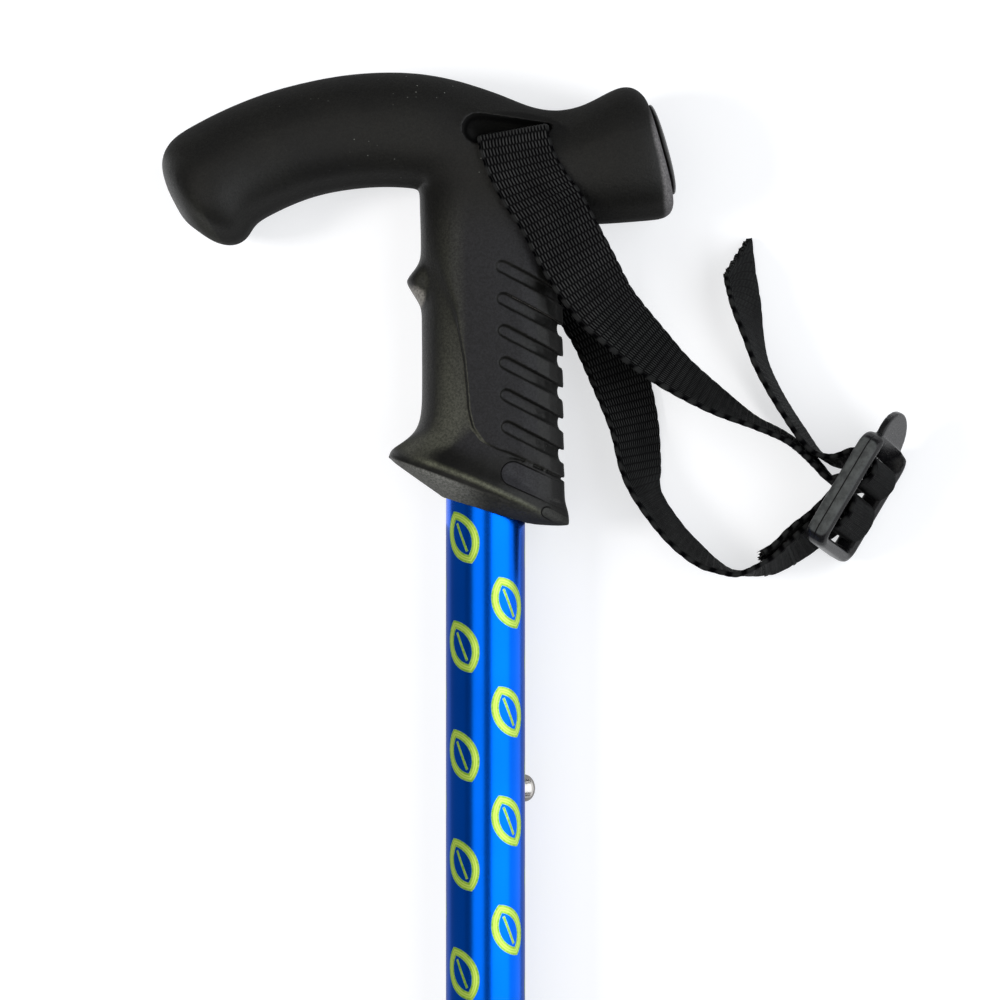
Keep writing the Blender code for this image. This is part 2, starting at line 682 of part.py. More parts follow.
def make_upper_tube(finish):
    """The printed upper tube, fixed in the handle, with its row of adjustment holes."""
    length = UPPER_TUBE_SHOWN + UPPER_TUBE_IN_HANDLE
    profile = tube_profile(UPPER_RADIUS, UPPER_BORE, length)
    tube = turned("upper_tube", profile, finish, UPPER_TUBE_END_Y)
    places = [BUTTON_Y - HOLE_PITCH * i for i in range(HOLE_COUNT)]
    radius = BUTTON_DIAMETER / 2 + BUTTON_HOLE_GAP
    for cutter in hole_cutters("adjustment_hole", radius, UPPER_RADIUS, places):
        combine(tube, cutter, "DIFFERENCE")


def make_lower_tube(finish):
    """The sliding lower tube, with the one hole that its button stands in."""
    length = LOWER_TUBE_END_Y - LOWER_TUBE_START_Y
    profile = tube_profile(LOWER_RADIUS, LOWER_BORE, length)
    tube = turned("lower_tube", profile, finish, LOWER_TUBE_START_Y)
    radius = BUTTON_DIAMETER / 2 + BUTTON_HOLE_GAP
    for cutter in hole_cutters("button_hole", radius, LOWER_RADIUS, [BUTTON_Y]):
        combine(tube, cutter, "DIFFERENCE")


def make_guide_bush(finish):
    """The plastic bush in the lower tube's top, whose rim steadies it in the upper tube."""
    rim = UPPER_BORE - GUIDE_RUNNING_GAP
    spigot = LOWER_BORE - SEAT_GAP
    bore = spigot - GUIDE_SPIGOT_WALL
    profile = [
        (rim - GUIDE_LEAD_IN, GUIDE_RIM_HEIGHT),
        (rim, GUIDE_RIM_HEIGHT - GUIDE_LEAD_IN),
        (rim, SEAT_GAP),
        (spigot, SEAT_GAP),
        (spigot, -GUIDE_SPIGOT_LENGTH),
        (bore, -GUIDE_SPIGOT_LENGTH),
        (bore, GUIDE_RIM_HEIGHT),
    ]
    turned("guide_bush", profile, finish, LOWER_TUBE_END_Y, BUSH_SEGMENTS)


def button_levels():
    """Distances from the shaft's axis to the button's flange, the spring's leaf and the rivet."""
    flange_radius = BUTTON_FLANGE_DIAMETER / 2
    flange_top = math.sqrt(LOWER_BORE**2 - flange_radius**2) - SEAT_GAP
    flange_foot = flange_top - BUTTON_FLANGE_THICKNESS
    leaf_top = flange_foot - SEAT_GAP
    leaf_foot = leaf_top - SPRING_THICKNESS
    head_top = leaf_foot - SEAT_GAP
    return flange_top, flange_foot, leaf_top, leaf_foot, head_top


def make_snap_button(finish):
    """The domed steel button, with the flange that holds it in and its rivet through the spring."""
    flange_top, flange_foot, leaf_top, leaf_foot, head_top = button_levels()
    radius = BUTTON_DIAMETER / 2
    tip = UPPER_RADIUS + BUTTON_PROUD
    steps = 6
    profile = []
    for i in range(steps + 1):
        angle = math.pi / 2 * i / steps
        fall = BUTTON_DOME_HEIGHT * (1 - math.cos(angle))
        profile.append((radius * math.sin(angle), tip - fall))
    profile += [
        (radius, flange_top),
        (BUTTON_FLANGE_DIAMETER / 2, flange_top),
        (BUTTON_FLANGE_DIAMETER / 2, flange_foot),
        (RIVET_DIAMETER / 2, flange_foot),
        (RIVET_DIAMETER / 2, head_top),
        (RIVET_HEAD_DIAMETER / 2, head_top),
        (RIVET_HEAD_DIAMETER / 2, head_top - RIVET_HEAD_THICKNESS),
        (0.0, head_top - RIVET_HEAD_THICKNESS),
    ]
    button = turned("snap_button", profile, finish, BUTTON_Y, BUTTON_SEGMENTS)
    button.rotation_euler = (0.0, math.pi / 2 - HOLE_ROW_TURN, 0.0)


def strip_outline(middle, thickness):
    """The outline of a bent strip, offset to both sides of its middle line."""
    left = []
    right = []
    for i, point in enumerate(middle):
        before = Vector(middle[max(i - 1, 0)])
        after = Vector(middle[min(i + 1, len(middle) - 1)])
        run = (after - before).normalized()
        aside = Vector((-run.y, run.x)) * (thickness / 2)
        left.append(tuple(Vector(point) + aside))
        right.append(tuple(Vector(point) - aside))
    return left + right[::-1]


def make_snap_spring(finish):
    """The hairpin leaf spring that pushes the button out, its far leg on the tube's wall."""
    leaf_top, leaf_foot = button_levels()[2:4]
    near = (leaf_top + leaf_foot) / 2
    wall = math.sqrt(LOWER_BORE**2 - (SPRING_WIDTH / 2) ** 2) - SEAT_GAP
    far = -(wall - SPRING_THICKNESS / 2)
    bend_y = SPRING_END_PAST_BUTTON - SPRING_LENGTH + SPRING_BEND_RADIUS
    leg = Vector(((near - far) / 2, -SPRING_STRAIGHT_PAST_BUTTON - bend_y))
    touch = math.atan2(leg.y, leg.x) - math.acos(SPRING_BEND_RADIUS / leg.length)
    start = math.degrees(touch)
    middle = [(near, SPRING_END_PAST_BUTTON), (near, -SPRING_STRAIGHT_PAST_BUTTON)]
    middle += arc(((near + far) / 2, bend_y), SPRING_BEND_RADIUS, start, -180 - start, 12)
    middle += [(far, -SPRING_STRAIGHT_PAST_BUTTON), (far, SPRING_END_PAST_BUTTON)]
    mesh = outline_mesh("snap_spring", [strip_outline(middle, SPRING_THICKNESS)], SPRING_WIDTH / 2)
    spring = add("snap_spring", mesh, finish)
    spring.rotation_euler = (0.0, -HOLE_ROW_TURN, 0.0)
    spring.location = (0.0, BUTTON_Y, 0.0)
    hole = cylinder_helper("rivet_hole", RIVET_DIAMETER / 2 + SEAT_GAP, SPRING_THICKNESS * 4)
    hole.rotation_euler = (0.0, math.pi / 2 - HOLE_ROW_TURN, 0.0)
    hole.location = BUTTON_AXIS * near + Vector((0.0, BUTTON_Y, 0.0))
    combine(spring, hole, "DIFFERENCE")


# Collet and lock collar

COLLET_RADIUS = UPPER_RADIUS + SEAT_GAP + COLLET_WALL
COLLET_TIP_RADIUS = COLLET_RADIUS - COLLET_TAPER_DEPTH
COLLET_TAPER_START = COLLET_TAPER_LENGTH - COLLET_BELOW_TUBE


def make_collet_bush(finish):
    """The slit bush on the upper tube's end, which the collar squeezes on the lower tube."""
    seat = UPPER_RADIUS + SEAT_GAP
    bore = LOWER_RADIUS + RUNNING_GAP
    rim = COLLET_RADIUS + COLLET_RIM_PROUD
    rim_foot = COLLET_ON_TUBE - COLLET_RIM_HEIGHT
    profile = [
        (rim - COLLET_RIM_CHAMFER, COLLET_ON_TUBE),
        (rim, COLLET_ON_TUBE - COLLET_RIM_CHAMFER),
        (rim, rim_foot),
        (COLLET_RADIUS, rim_foot),
        (COLLET_RADIUS, COLLET_TAPER_START),
        (COLLET_TIP_RADIUS, -COLLET_BELOW_TUBE),
        (bore, -COLLET_BELOW_TUBE),
        (bore, -SEAT_GAP),
        (seat, -SEAT_GAP),
        (seat, COLLET_ON_TUBE),
    ]
    bush = turned("collet_bush", profile, finish, UPPER_TUBE_END_Y)
    across = COLLET_RADIUS * 3
    for number in range(2):
        size = (COLLET_SLIT_WIDTH, COLLET_SLIT_LENGTH * 2, across)
        slit = box_helper("collet_slit_%d" % number, size)
        slit.location = (0.0, UPPER_TUBE_END_Y - COLLET_BELOW_TUBE, 0.0)
        slit.rotation_euler = (0.0, math.pi / 4 + number * math.pi / 2, 0.0)
        combine(bush, slit, "DIFFERENCE")


def make_lock_collar(finish):
    """The fluted collar that screws over the collet and tightens it on the lower tube."""
    inside = COLLET_RADIUS + RUNNING_GAP
    outside = inside + COLLAR_WALL
    top = COLLET_ON_TUBE - COLLET_RIM_HEIGHT - RUNNING_GAP
    floor = -COLLET_BELOW_TUBE - RUNNING_GAP
    foot = floor - COLLAR_END_LENGTH
    bore = LOWER_RADIUS + 2 * RUNNING_GAP
    profile = [
        (outside - COLLAR_TOP_CHAMFER, top),
        (outside, top - COLLAR_TOP_CHAMFER),
        (outside, foot + COLLAR_FOOT_CHAMFER_HEIGHT),
        (outside - COLLAR_FOOT_CHAMFER, foot),
        (bore, foot),
        (bore, floor),
        (COLLET_TIP_RADIUS + RUNNING_GAP, floor),
        (inside, COLLET_TAPER_START - RUNNING_GAP),
        (inside, top),
    ]
    collar = turned("lock_collar", profile, finish, UPPER_TUBE_END_Y, COLLAR_SEGMENTS)
    flute_top = top - COLLAR_FLUTE_MARGIN
    flute_foot = foot + COLLAR_FOOT_CHAMFER_HEIGHT + COLLAR_TOP_CHAMFER
    reach = outside + COLLAR_FLUTE_RADIUS - COLLAR_FLUTE_DEPTH
    mesh = bpy.data.meshes.new("collar_flutes")
    shape = bmesh.new()
    for number in range(COLLAR_FLUTES):
        angle = 2 * math.pi * number / COLLAR_FLUTES
        place = Matrix.Translation((reach * math.cos(angle), reach * math.sin(angle), 0.0))
        bmesh.ops.create_cone(
            shape,
            cap_ends=True,
            segments=10,
            radius1=COLLAR_FLUTE_RADIUS,
            radius2=COLLAR_FLUTE_RADIUS,
            depth=flute_top - flute_foot,
            matrix=place,
        )
    shape.to_mesh(mesh)
    shape.free()
    flutes = helper("collar_flutes", mesh)
    flutes.rotation_euler = (-math.pi / 2, 0.0, 0.0)
    flutes.location = (0.0, UPPER_TUBE_END_Y + (flute_top + flute_foot) / 2, 0.0)
    combine(collar, flutes, "DIFFERENCE")


# Ferrule


def make_ferrule(finish):
    """The rubber foot: flared, beaded at its mouth, with ring grooves in its sole."""
    foot = FERRULE_FOOT_DIAMETER / 2
    neck = FERRULE_NECK_DIAMETER / 2
    bore = LOWER_RADIUS + SEAT_GAP
    bead = neck + FERRULE_BEAD_PROUD
    profile = [(0.0, FERRULE_FLOOR), (bore, FERRULE_FLOOR), (bore, FERRULE_HEIGHT)]
    top = FERRULE_HEIGHT
    for number in range(FERRULE_BEADS):
        profile += [
            (neck, top),
            (bead, top - FERRULE_BEAD_HEIGHT / 4),
            (bead, top - FERRULE_BEAD_HEIGHT * 3 / 4),
            (neck, top - FERRULE_BEAD_HEIGHT),
        ]
        top -= FERRULE_BEAD_HEIGHT * 2
    waist = top - FERRULE_FOOT_HEIGHT
    steps = 6
    for i in range(steps + 1):
        share = i / steps
        flare = ((1 - math.cos(math.pi * share)) / 2) ** FERRULE_FLARE_POWER
        profile.append((neck + (foot - neck) * flare, top - waist * share))
    profile += [(foot, FERRULE_EDGE_CHAMFER), (foot - FERRULE_EDGE_CHAMFER, 0.0)]
    for radius in reversed(SOLE_GROOVE_RADII):
        outer = radius + SOLE_GROOVE_WIDTH / 2
        inner = radius - SOLE_GROOVE_WIDTH / 2
        profile += [
            (outer, 0.0),
            (outer, SOLE_GROOVE_DEPTH),
            (inner, SOLE_GROOVE_DEPTH),
            (inner, 0.0),
        ]
    profile.append((0.0, 0.0))
    turned("ferrule", profile, finish, segments=FERRULE_SEGMENTS)


def make_ferrule_washer(finish):
    """The steel washer under the tube's end, which keeps it from cutting through the rubber."""
    outer = LOWER_RADIUS - SEAT_GAP
    profile = tube_profile(outer, WASHER_BORE_DIAMETER / 2, WASHER_THICKNESS)
    turned("ferrule_washer", profile, finish, FERRULE_FLOOR + SEAT_GAP, BUSH_SEGMENTS)


# Wrist strap and buckle

BUCKLE_CENTRE = Vector((0.1035, 0.0033, -0.0031))
BUCKLE_HEADING = math.radians(59.3)
BUCKLE_LEAN = math.radians(63.4)
BUCKLE_TURN = Matrix.Rotation(BUCKLE_HEADING, 3, "Z") @ Matrix.Rotation(
    math.pi + BUCKLE_LEAN, 3, "X"
)
BUCKLE_RUN = BUCKLE_TURN @ Vector((1.0, 0.0, 0.0))
BUCKLE_ACROSS = BUCKLE_TURN @ Vector((0.0, 1.0, 0.0))
BUCKLE_FACE = BUCKLE_TURN @ Vector((0.0, 0.0, -1.0))
STRAP_LAY = BAR_HALF_DEPTH + STRAP_HANDLE_GAP + STRAP_THICKNESS / 2


def at_slot(past, out):
    """A strap station at the slot: how far past the waist, down the handle, and how far out."""
    across = Vector((math.cos(SLOT_WAIST_SLOPE), math.sin(SLOT_WAIST_SLOPE)))
    down = Vector((across.y, -across.x))
    waist = SLOT_CENTRE.xy + Vector((SLOT_WAIST_ASIDE, SLOT_WAIST_ABOVE))
    return (*(waist + down * past), out, *across, 0.0)


def at_buckle(run, face):
    """A strap station in the buckle: places along its run and out of its face, width across it."""
    place = BUCKLE_CENTRE + BUCKLE_RUN * run + BUCKLE_FACE * face
    return (*place, *BUCKLE_ACROSS)


def loop_stations(bar, start_side):
    """The strap round one bar of the buckle, from one side of the bar to the other."""
    reach = BUCKLE_BAR / 2 + STRAP_THICKNESS / 2 + SEAT_GAP + LOOP_SLACK
    shoulder = reach - LOOP_SHOULDER_INSET
    places = (
        (reach, -LOOP_MOUTH_DEPTH),
        (reach, LOOP_SIDE_HEIGHT),
        (shoulder, LOOP_SHOULDER_HEIGHT),
        (0.0, LOOP_CROWN_HEIGHT),
        (-shoulder, LOOP_SHOULDER_HEIGHT),
        (-reach, LOOP_SIDE_HEIGHT),
        (-reach, -LOOP_MOUTH_DEPTH),
    )
    return [at_buckle(bar + start_side * run, face) for run, face in places]


SEWN_END_STATIONS = (
    (0.0779, -0.0139, -0.0071, 0.10, -0.22, -0.97),
    (0.0817, -0.0120, -0.0071, 0.15, -0.26, -0.95),
    (0.0853, -0.0092, -0.0071, 0.22, -0.29, -0.93),
    (0.0889, -0.0065, -0.0066, 0.29, -0.28, -0.91),
    (0.0928, -0.0037, -0.0059, 0.34, -0.26, -0.90),
    (0.0973, 0.0005, -0.0051, 0.38, -0.24, -0.89),
)

FAR_STRAND_STATIONS = (
    (0.0940, -0.0056, -0.0051, 0.36, -0.25, -0.90),
    (0.0905, -0.0083, -0.0059, 0.31, -0.27, -0.91),
    (0.0866, -0.0114, -0.0067, 0.23, -0.29, -0.93),
    (0.0827, -0.0143, -0.0071, 0.15, -0.26, -0.95),
    (0.0786, -0.0164, -0.0070, 0.10, -0.20, -0.98),
    (0.0704, -0.0180, -0.0068, 0.00, 0.00, -1.00),
    (0.0651, -0.0163, -0.0067, 0.05, 0.11, -0.99),
    (0.0598, -0.0132, -0.0068, 0.16, 0.21, -0.97),
    (0.0528, -0.0067, -0.0070, 0.25, 0.22, -0.94),
    (0.0458, 0.0031, -0.0072, 0.36, 0.18, -0.92),
    (0.0435, 0.0114, -0.0082, 0.59, 0.12, -0.80),
    (0.0417, 0.0233, -0.0091, 0.70, 0.16, -0.69),
    (0.0380, 0.0361, -0.0105, 0.81, 0.25, -0.53),
) + from_top(
    (0.0336, -0.0722, -0.0131, 0.86, 0.40, -0.31),
    (0.0299, -0.0647, 0.0008 - STRAP_LAY, 0.88, 0.46, -0.08),
    (0.0246, -0.0544, 0.0001 - STRAP_LAY, 0.89, 0.46, 0.00),
    (0.0185, -0.0427, 0.0001 - STRAP_LAY, 0.89, 0.45, 0.00),
    (0.0135, -0.0327, -STRAP_LAY, 0.92, 0.38, 0.00),
    (0.0102, -0.0257, -STRAP_LAY, 0.96, 0.27, 0.00),
    heights=(1,),
)

SLOT_STATIONS = (
    at_slot(0.0037, -STRAP_LAY),
    at_slot(0.0016, -STRAP_LAY),
    at_slot(0.0003, 0.0009 - STRAP_LAY),
    at_slot(0.0, 0.0030 - STRAP_LAY),
    at_slot(0.0, 0.0062 - STRAP_LAY),
    at_slot(0.0, 0.0),
    at_slot(0.0, STRAP_LAY - 0.0062),
    at_slot(0.0, STRAP_LAY - 0.0030),
    at_slot(0.0003, STRAP_LAY - 0.0007),
    at_slot(0.0016, STRAP_LAY + 0.0005),
    at_slot(0.0037, STRAP_LAY + 0.0006),
)

NEAR_STRAND_STATIONS = from_top(
    (0.0102, -0.0255, STRAP_LAY + 0.0004, 0.97, 0.24, 0.00),
    (0.0142, -0.0334, STRAP_LAY + 0.0003, 0.93, 0.38, 0.00),
    (0.0181, -0.0402, STRAP_LAY + 0.0001, 0.88, 0.46, 0.00),
    (0.0246, -0.0522, STRAP_LAY - 0.0011, 0.87, 0.48, -0.09),
    heights=(1,),
) + (
    (0.0315, 0.0580, 0.0118, 0.73, 0.58, -0.37),
    (0.0362, 0.0526, 0.0097, 0.60, 0.62, -0.52),
    (0.0459, 0.0434, 0.0056, 0.46, 0.55, -0.68),
    (0.0537, 0.0370, 0.0026, 0.33, 0.47, -0.81),
    (0.0645, 0.0300, -0.0013, 0.20, 0.35, -0.91),
    (0.0749, 0.0243, -0.0043, 0.08, 0.17, -0.98),
    (0.0818, 0.0203, -0.0058, 0.02, 0.06, -1.00),
    (0.0863, 0.0169, -0.0065, 0.06, -0.03, -1.00),
    (0.0904, 0.0131, -0.0069, 0.18, -0.10, -0.98),
    (0.0947, 0.0093, -0.0069, 0.30, -0.17, -0.94),
    (0.0981, 0.0067, -0.0061, 0.36, -0.22, -0.90),
)

TAIL_STATIONS = (
    (0.1036, 0.0149, -0.0062, 0.37, -0.22, -0.90),
    (0.0979, 0.0149, -0.0070, 0.28, -0.17, -0.94),
    (0.0922, 0.0168, -0.0069, 0.15, -0.06, -0.99),
    (0.0874, 0.0214, -0.0068, 0.03, 0.02, -1.00),
    (0.0829, 0.0272, -0.0067, 0.06, 0.03, -1.00),
    (0.0790, 0.0336, -0.0067, 0.11, 0.05, -0.99),
    (0.0764, 0.0408, -0.0069, 0.19, 0.05, -0.98),
    (0.0749, 0.0483, -0.0071, 0.33, 0.07, -0.94),
    (0.0729, 0.0572, -0.0076, 0.46, 0.09, -0.88),
    (0.0714, 0.0650, -0.0077, 0.49, 0.10, -0.87),
    (0.0706, 0.0711, -0.0077, 0.49, 0.10, -0.87),
)

TAIL_CUT_SLANT = 0.0095
TAIL_CUT_RINGS = 5
STRAP_RINGS_PER_STATION = 2


def strap_rings():
    """Cross-sections along the strap, from its sewn end to its slanted cut end."""
    rows = list(SEWN_END_STATIONS)
    rows += loop_stations(BUCKLE_BAR_PLACES[0], 1)
    rows += FAR_STRAND_STATIONS + SLOT_STATIONS + NEAR_STRAND_STATIONS
    rows += loop_stations(BUCKLE_BAR_PLACES[1], -1)
    rows += TAIL_STATIONS
    filled = smooth_rows(rows, STRAP_RINGS_PER_STATION)
    centres = [Vector(row[:3]) for row in filled]
    rings = []
    last = len(filled) - 1
    for i, row in enumerate(filled):
        run = (centres[min(i + 1, last)] - centres[max(i - 1, 0)]).normalized()
        across = Vector(row[3:]).normalized()
        face = run.cross(across).normalized()
        share = max(0.0, 1.0 - (last - i) / TAIL_CUT_RINGS)
        wide = across * (STRAP_WIDTH / 2) + run * (TAIL_CUT_SLANT / 2 * share)
        thick = face * (STRAP_THICKNESS / 2)
        corners = (-wide - thick, wide - thick, wide + thick, -wide + thick)
        rings.append([centres[i] + corner for corner in corners])
    return rings


def make_wrist_strap(pivot, finish):
    """The webbing: one band from its sewn end round the buckle, through the handle and back."""
    rings = strap_rings()
    moved = [[point - SLOT_CENTRE for point in ring] for ring in rings]
    return add("wrist_strap", loft_mesh("wrist_strap", moved), finish, pivot)


def make_strap_buckle(pivot, finish):
    """The ladder buckle: rounded frame, two cross bars and a lift tab."""
    half_length = BUCKLE_LENGTH / 2
    half_width = BUCKLE_WIDTH / 2
    window_x = half_length - (BUCKLE_END_BAR + BUCKLE_TAB_BAR) / 2
    window_y = STRAP_WIDTH / 2 + BUCKLE_SLOT_SIDE_GAP
    window_shift = (BUCKLE_END_BAR - BUCKLE_TAB_BAR) / 2
    outer = rounded_rectangle(half_length, half_width, BUCKLE_CORNER_RADIUS, 5)
    window = rounded_rectangle(window_x, window_y, BUCKLE_WINDOW_RADIUS, 2)
    outlines = [outer, [(x + window_shift, y) for x, y in window[::-1]]]
    mesh = outline_mesh("strap_buckle", outlines, BUCKLE_THICKNESS / 2, BUCKLE_BEVEL)
    buckle = add("strap_buckle", mesh, finish, pivot)
    place = BUCKLE_CENTRE - SLOT_CENTRE
    buckle.location = place
    buckle.rotation_euler = (math.pi + BUCKLE_LEAN, 0.0, BUCKLE_HEADING)
    for number, bar_x in enumerate(BUCKLE_BAR_PLACES):
        name = "buckle_bar_%d" % number
        section = stadium(BUCKLE_BAR, BUCKLE_BAR_HEIGHT, 5)
        bar_mesh = outline_mesh(name, [section], half_width - BUCKLE_BEVEL)
        bar_mesh.transform(Matrix.Rotation(math.pi / 2, 4, "X"))
        bar_mesh.transform(Matrix.Translation((bar_x, 0.0, 0.0)))
        bar = helper(name, bar_mesh, buckle)
        combine(buckle, bar, "UNION")
    tab_mesh = outline_mesh("lift_tab", [tab_outline()], TAB_THICKNESS / 2, TAB_BEVEL)
    tab = helper("lift_tab", tab_mesh, buckle)
    tab.location = (half_length - BUCKLE_END_BAR / 2, 0.0, 0.0)
    tab.rotation_euler = (0.0, TAB_TILT, 0.0)
    combine(buckle, tab, "UNION")


def tab_outline():
    """The lift tab's outline: straight sides and a half-oval end."""
    points = [(0.0, -TAB_WIDTH / 2)]
    for x, y in arc((0.0, 0.0), 1.0, -90, 90, 12):
        points.append((TAB_STRAIGHT + x * (TAB_LENGTH - TAB_STRAIGHT), y * TAB_WIDTH / 2))
    return points + [(0.0, TAB_WIDTH / 2)]


def build():
    """Makes every sub-part in its place."""
    black = material("handle black", (0.030, 0.031, 0.033), 0.55)
    cap_black = material("cap black", (0.028, 0.028, 0.030), 0.50)
    blue = material("anodised blue", (0.010, 0.190, 0.750), 0.25, 0.8)
    steel = material("steel", (0.62, 0.60, 0.57), 0.28, 1.0)
    spring_steel = material("spring steel", (0.45, 0.45, 0.47), 0.35, 1.0)
    grey_plastic = material("grey plastic", (0.10, 0.10, 0.11), 0.45)
    collar_black = material("collar black", (0.025, 0.025, 0.027), 0.40)
    rubber = material("ferrule rubber", (0.045, 0.045, 0.045), 0.80)
    webbing = material("black webbing", (0.022, 0.022, 0.023), 0.85)
    acetal = material("buckle black", (0.035, 0.036, 0.040), 0.35)

    handle_frame = bpy.data.objects.new("handle_frame", None)
    handle_frame.location = (0.0, HANDLE_Y, 0.0)
    PARTS.objects.link(handle_frame)
    strap_pivot = bpy.data.objects.new("strap_pivot", None)
    strap_pivot.parent = handle_frame
    strap_pivot.location = SLOT_CENTRE
    PARTS.objects.link(strap_pivot)

    make_handle(handle_frame, black)
    make_end_cap(handle_frame, cap_black)
    make_upper_tube(blue)
    make_collet_bush(grey_plastic)
    make_lock_collar(collar_black)
    make_lower_tube(blue)
    make_guide_bush(grey_plastic)
    make_snap_button(steel)
    make_snap_spring(spring_steel)
    make_ferrule(rubber)
    make_ferrule_washer(steel)
    make_wrist_strap(strap_pivot, webbing)
    make_strap_buckle(strap_pivot, acetal)


clear_scene()
PARTS = collection("walking_cane")
CUTTERS = collection("cutters")
build()
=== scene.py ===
import math
from contextlib import contextmanager
from functools import partialmethod

import bmesh
import bpy
import numpy as np
from mathutils import Matrix, Vector


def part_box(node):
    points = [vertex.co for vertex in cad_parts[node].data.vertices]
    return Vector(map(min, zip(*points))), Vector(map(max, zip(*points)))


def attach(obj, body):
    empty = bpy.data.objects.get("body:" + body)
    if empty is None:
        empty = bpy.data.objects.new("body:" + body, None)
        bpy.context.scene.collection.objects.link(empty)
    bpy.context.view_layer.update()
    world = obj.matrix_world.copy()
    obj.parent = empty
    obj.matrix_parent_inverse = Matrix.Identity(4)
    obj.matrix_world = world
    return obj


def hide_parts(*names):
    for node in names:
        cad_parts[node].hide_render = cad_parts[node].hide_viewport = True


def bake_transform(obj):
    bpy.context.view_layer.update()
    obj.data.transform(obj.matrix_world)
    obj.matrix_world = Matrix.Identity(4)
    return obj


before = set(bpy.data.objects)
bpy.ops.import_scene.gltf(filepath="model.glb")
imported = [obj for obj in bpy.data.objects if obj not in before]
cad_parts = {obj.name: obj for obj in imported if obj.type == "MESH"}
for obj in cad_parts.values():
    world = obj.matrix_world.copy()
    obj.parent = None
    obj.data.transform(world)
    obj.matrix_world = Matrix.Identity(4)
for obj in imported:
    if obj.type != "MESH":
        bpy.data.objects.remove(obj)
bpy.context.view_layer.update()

# An adjustable walking cane lying on its side, seen straight from above under soft studio light.
# Units are metres. +Y runs along the shaft towards the handle, +X to the handle's short arm, +Z up.
# Handle and strap shapes are given from the place where the tube leaves the handle.

UPPER = "upper_section"
LOWER = "lower_section"
LOOP = "wrist_loop"

# Places and sizes that follow from the frame
HANDLE_RISE = 0.1212
HANDLE_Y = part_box("handle_body")[1].y - HANDLE_RISE
HANDLE_FOOT = Vector((0.0, HANDLE_Y, 0.0))
FLOOR_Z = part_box("ferrule")[0].z
_, TUBE_FOOT_Y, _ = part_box("upper_tube")[0]
TUBE_RADIUS, TUBE_TOP_Y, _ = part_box("upper_tube")[1]
_, LOWER_FOOT_Y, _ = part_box("lower_tube")[0]
LOWER_RADIUS, LOWER_TOP_Y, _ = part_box("lower_tube")[1]
TUBE_WALL = 0.0012
SEAT_GAP = 0.0003
BORE = TUBE_RADIUS - TUBE_WALL
LOWER_BORE = LOWER_RADIUS - TUBE_WALL
SPIN_STEPS = 96

# Height holes and button
HOLE_PITCH = 0.0254
HOLE_COUNT = 7
HOLE_RADIUS = 0.0042
HOLE_ROW_TURN = math.radians(-28.0)
BUTTON_Y = HANDLE_Y - 0.078
BUTTON_RADIUS = 0.0038
BUTTON_PROUD = 0.0040
BUTTON_DOME = 0.0027
FLANGE_RADIUS = 0.0046
FLANGE_THICKNESS = 0.0008
RIVET_RADIUS = 0.0017
RIVET_HEAD = (0.0028, 0.0006)
LEAF_THICKNESS = 0.0007

# Collet, collar and ferrule
COLLET_ON_TUBE = 0.016
COLLET_BELOW_TUBE = 0.011
COLLET_RADIUS = TUBE_RADIUS + SEAT_GAP + 0.0017
COLLET_RIM = 0.0014
COLLET_RIM_HEIGHT = 0.004
COLLET_TAPER = 0.0012
COLLET_TAPER_START = -0.005
COLLET_SLIT = (0.0013, 0.018, 0.05, 1.0)
COLLAR_RADIUS = COLLET_RADIUS + SEAT_GAP + 0.0022
COLLAR_END = 0.005
COLLAR_FLUTES = 14
FLUTE_RADIUS = 0.0016
FLUTE_DEPTH = 0.0009
FERRULE_HEIGHT = 0.046
FERRULE_NECK = 0.0123
FERRULE_FOOT = -FLOOR_Z
FERRULE_FLOOR = 0.009
SOLE_GROOVES = (0.0055, 0.0095, 0.0135)

# Wrist strap and buckle
STRAP_WIDTH = 0.0195
STRAP_THICKNESS = 0.0016
STRAP_LAY = 0.0158
SLOT = Vector((0.0068, HANDLE_RISE - 0.0165, 0.0))
WAIST = SLOT + Vector((0.0007, 0.0005, 0.0))
WAIST_SLOPE = math.radians(10.0)
MOUTH_DROP = 0.0021
SLOT_REACH_X = 0.0150
SLOT_REACH_Y = 0.0062
BUCKLE_BAR = 0.0044
BUCKLE_BAR_PLACES = (-0.0055, 0.0071)
SEWN_LOOP_SLACK = 0.0019
LACED_LOOP_SLACK = 0.0008
BUCKLE_CENTRE = Vector((0.1035, 0.0033, -0.0031))
BUCKLE_TURN = Matrix.Rotation(math.radians(59.3), 3, "Z") @ Matrix.Rotation(
    math.pi + math.radians(63.4), 3, "X"
)
BUCKLE_RUN = BUCKLE_TURN @ Vector((1.0, 0.0, 0.0))
BUCKLE_ACROSS = BUCKLE_TURN @ Vector((0.0, 1.0, 0.0))
BUCKLE_FACE = BUCKLE_TURN @ Vector((0.0, 0.0, -1.0))

# Camera, from the photograph's framing
PIXELS = 1000
PIXELS_PER_METRE = 3600.0
SHAFT_PIXEL_X = 485.5
HANDLE_FOOT_PIXEL_Y = 509.0
CAMERA_HEIGHT = 0.90
SENSOR = 36.0


# Node materials


def srgb(red, green, blue):
    """A linear colour from its eight-bit screen values."""
    made = []
    for value in (red, green, blue):
        share = value / 255
        made.append(share / 12.92 if share <= 0.04045 else ((share + 0.055) / 1.055) ** 2.4)
    return (*made, 1.0)


def feed(socket, value):
    """Links a socket to a term or to another socket, or sets its value."""
    value = getattr(value, "socket", value)
    if isinstance(value, bpy.types.NodeSocket):
        socket.id_data.links.new(value, socket)
    else:
        socket.default_value = value


def add(tree, kind, feeds=(), **settings):
    """A new node with its settings made and its sockets fed."""
    node = tree.nodes.new(kind)
    for name, value in settings.items():
        setattr(node, name, value)
    for key, value in dict(feeds).items():
        feed(node.inputs[key], value)
    return node


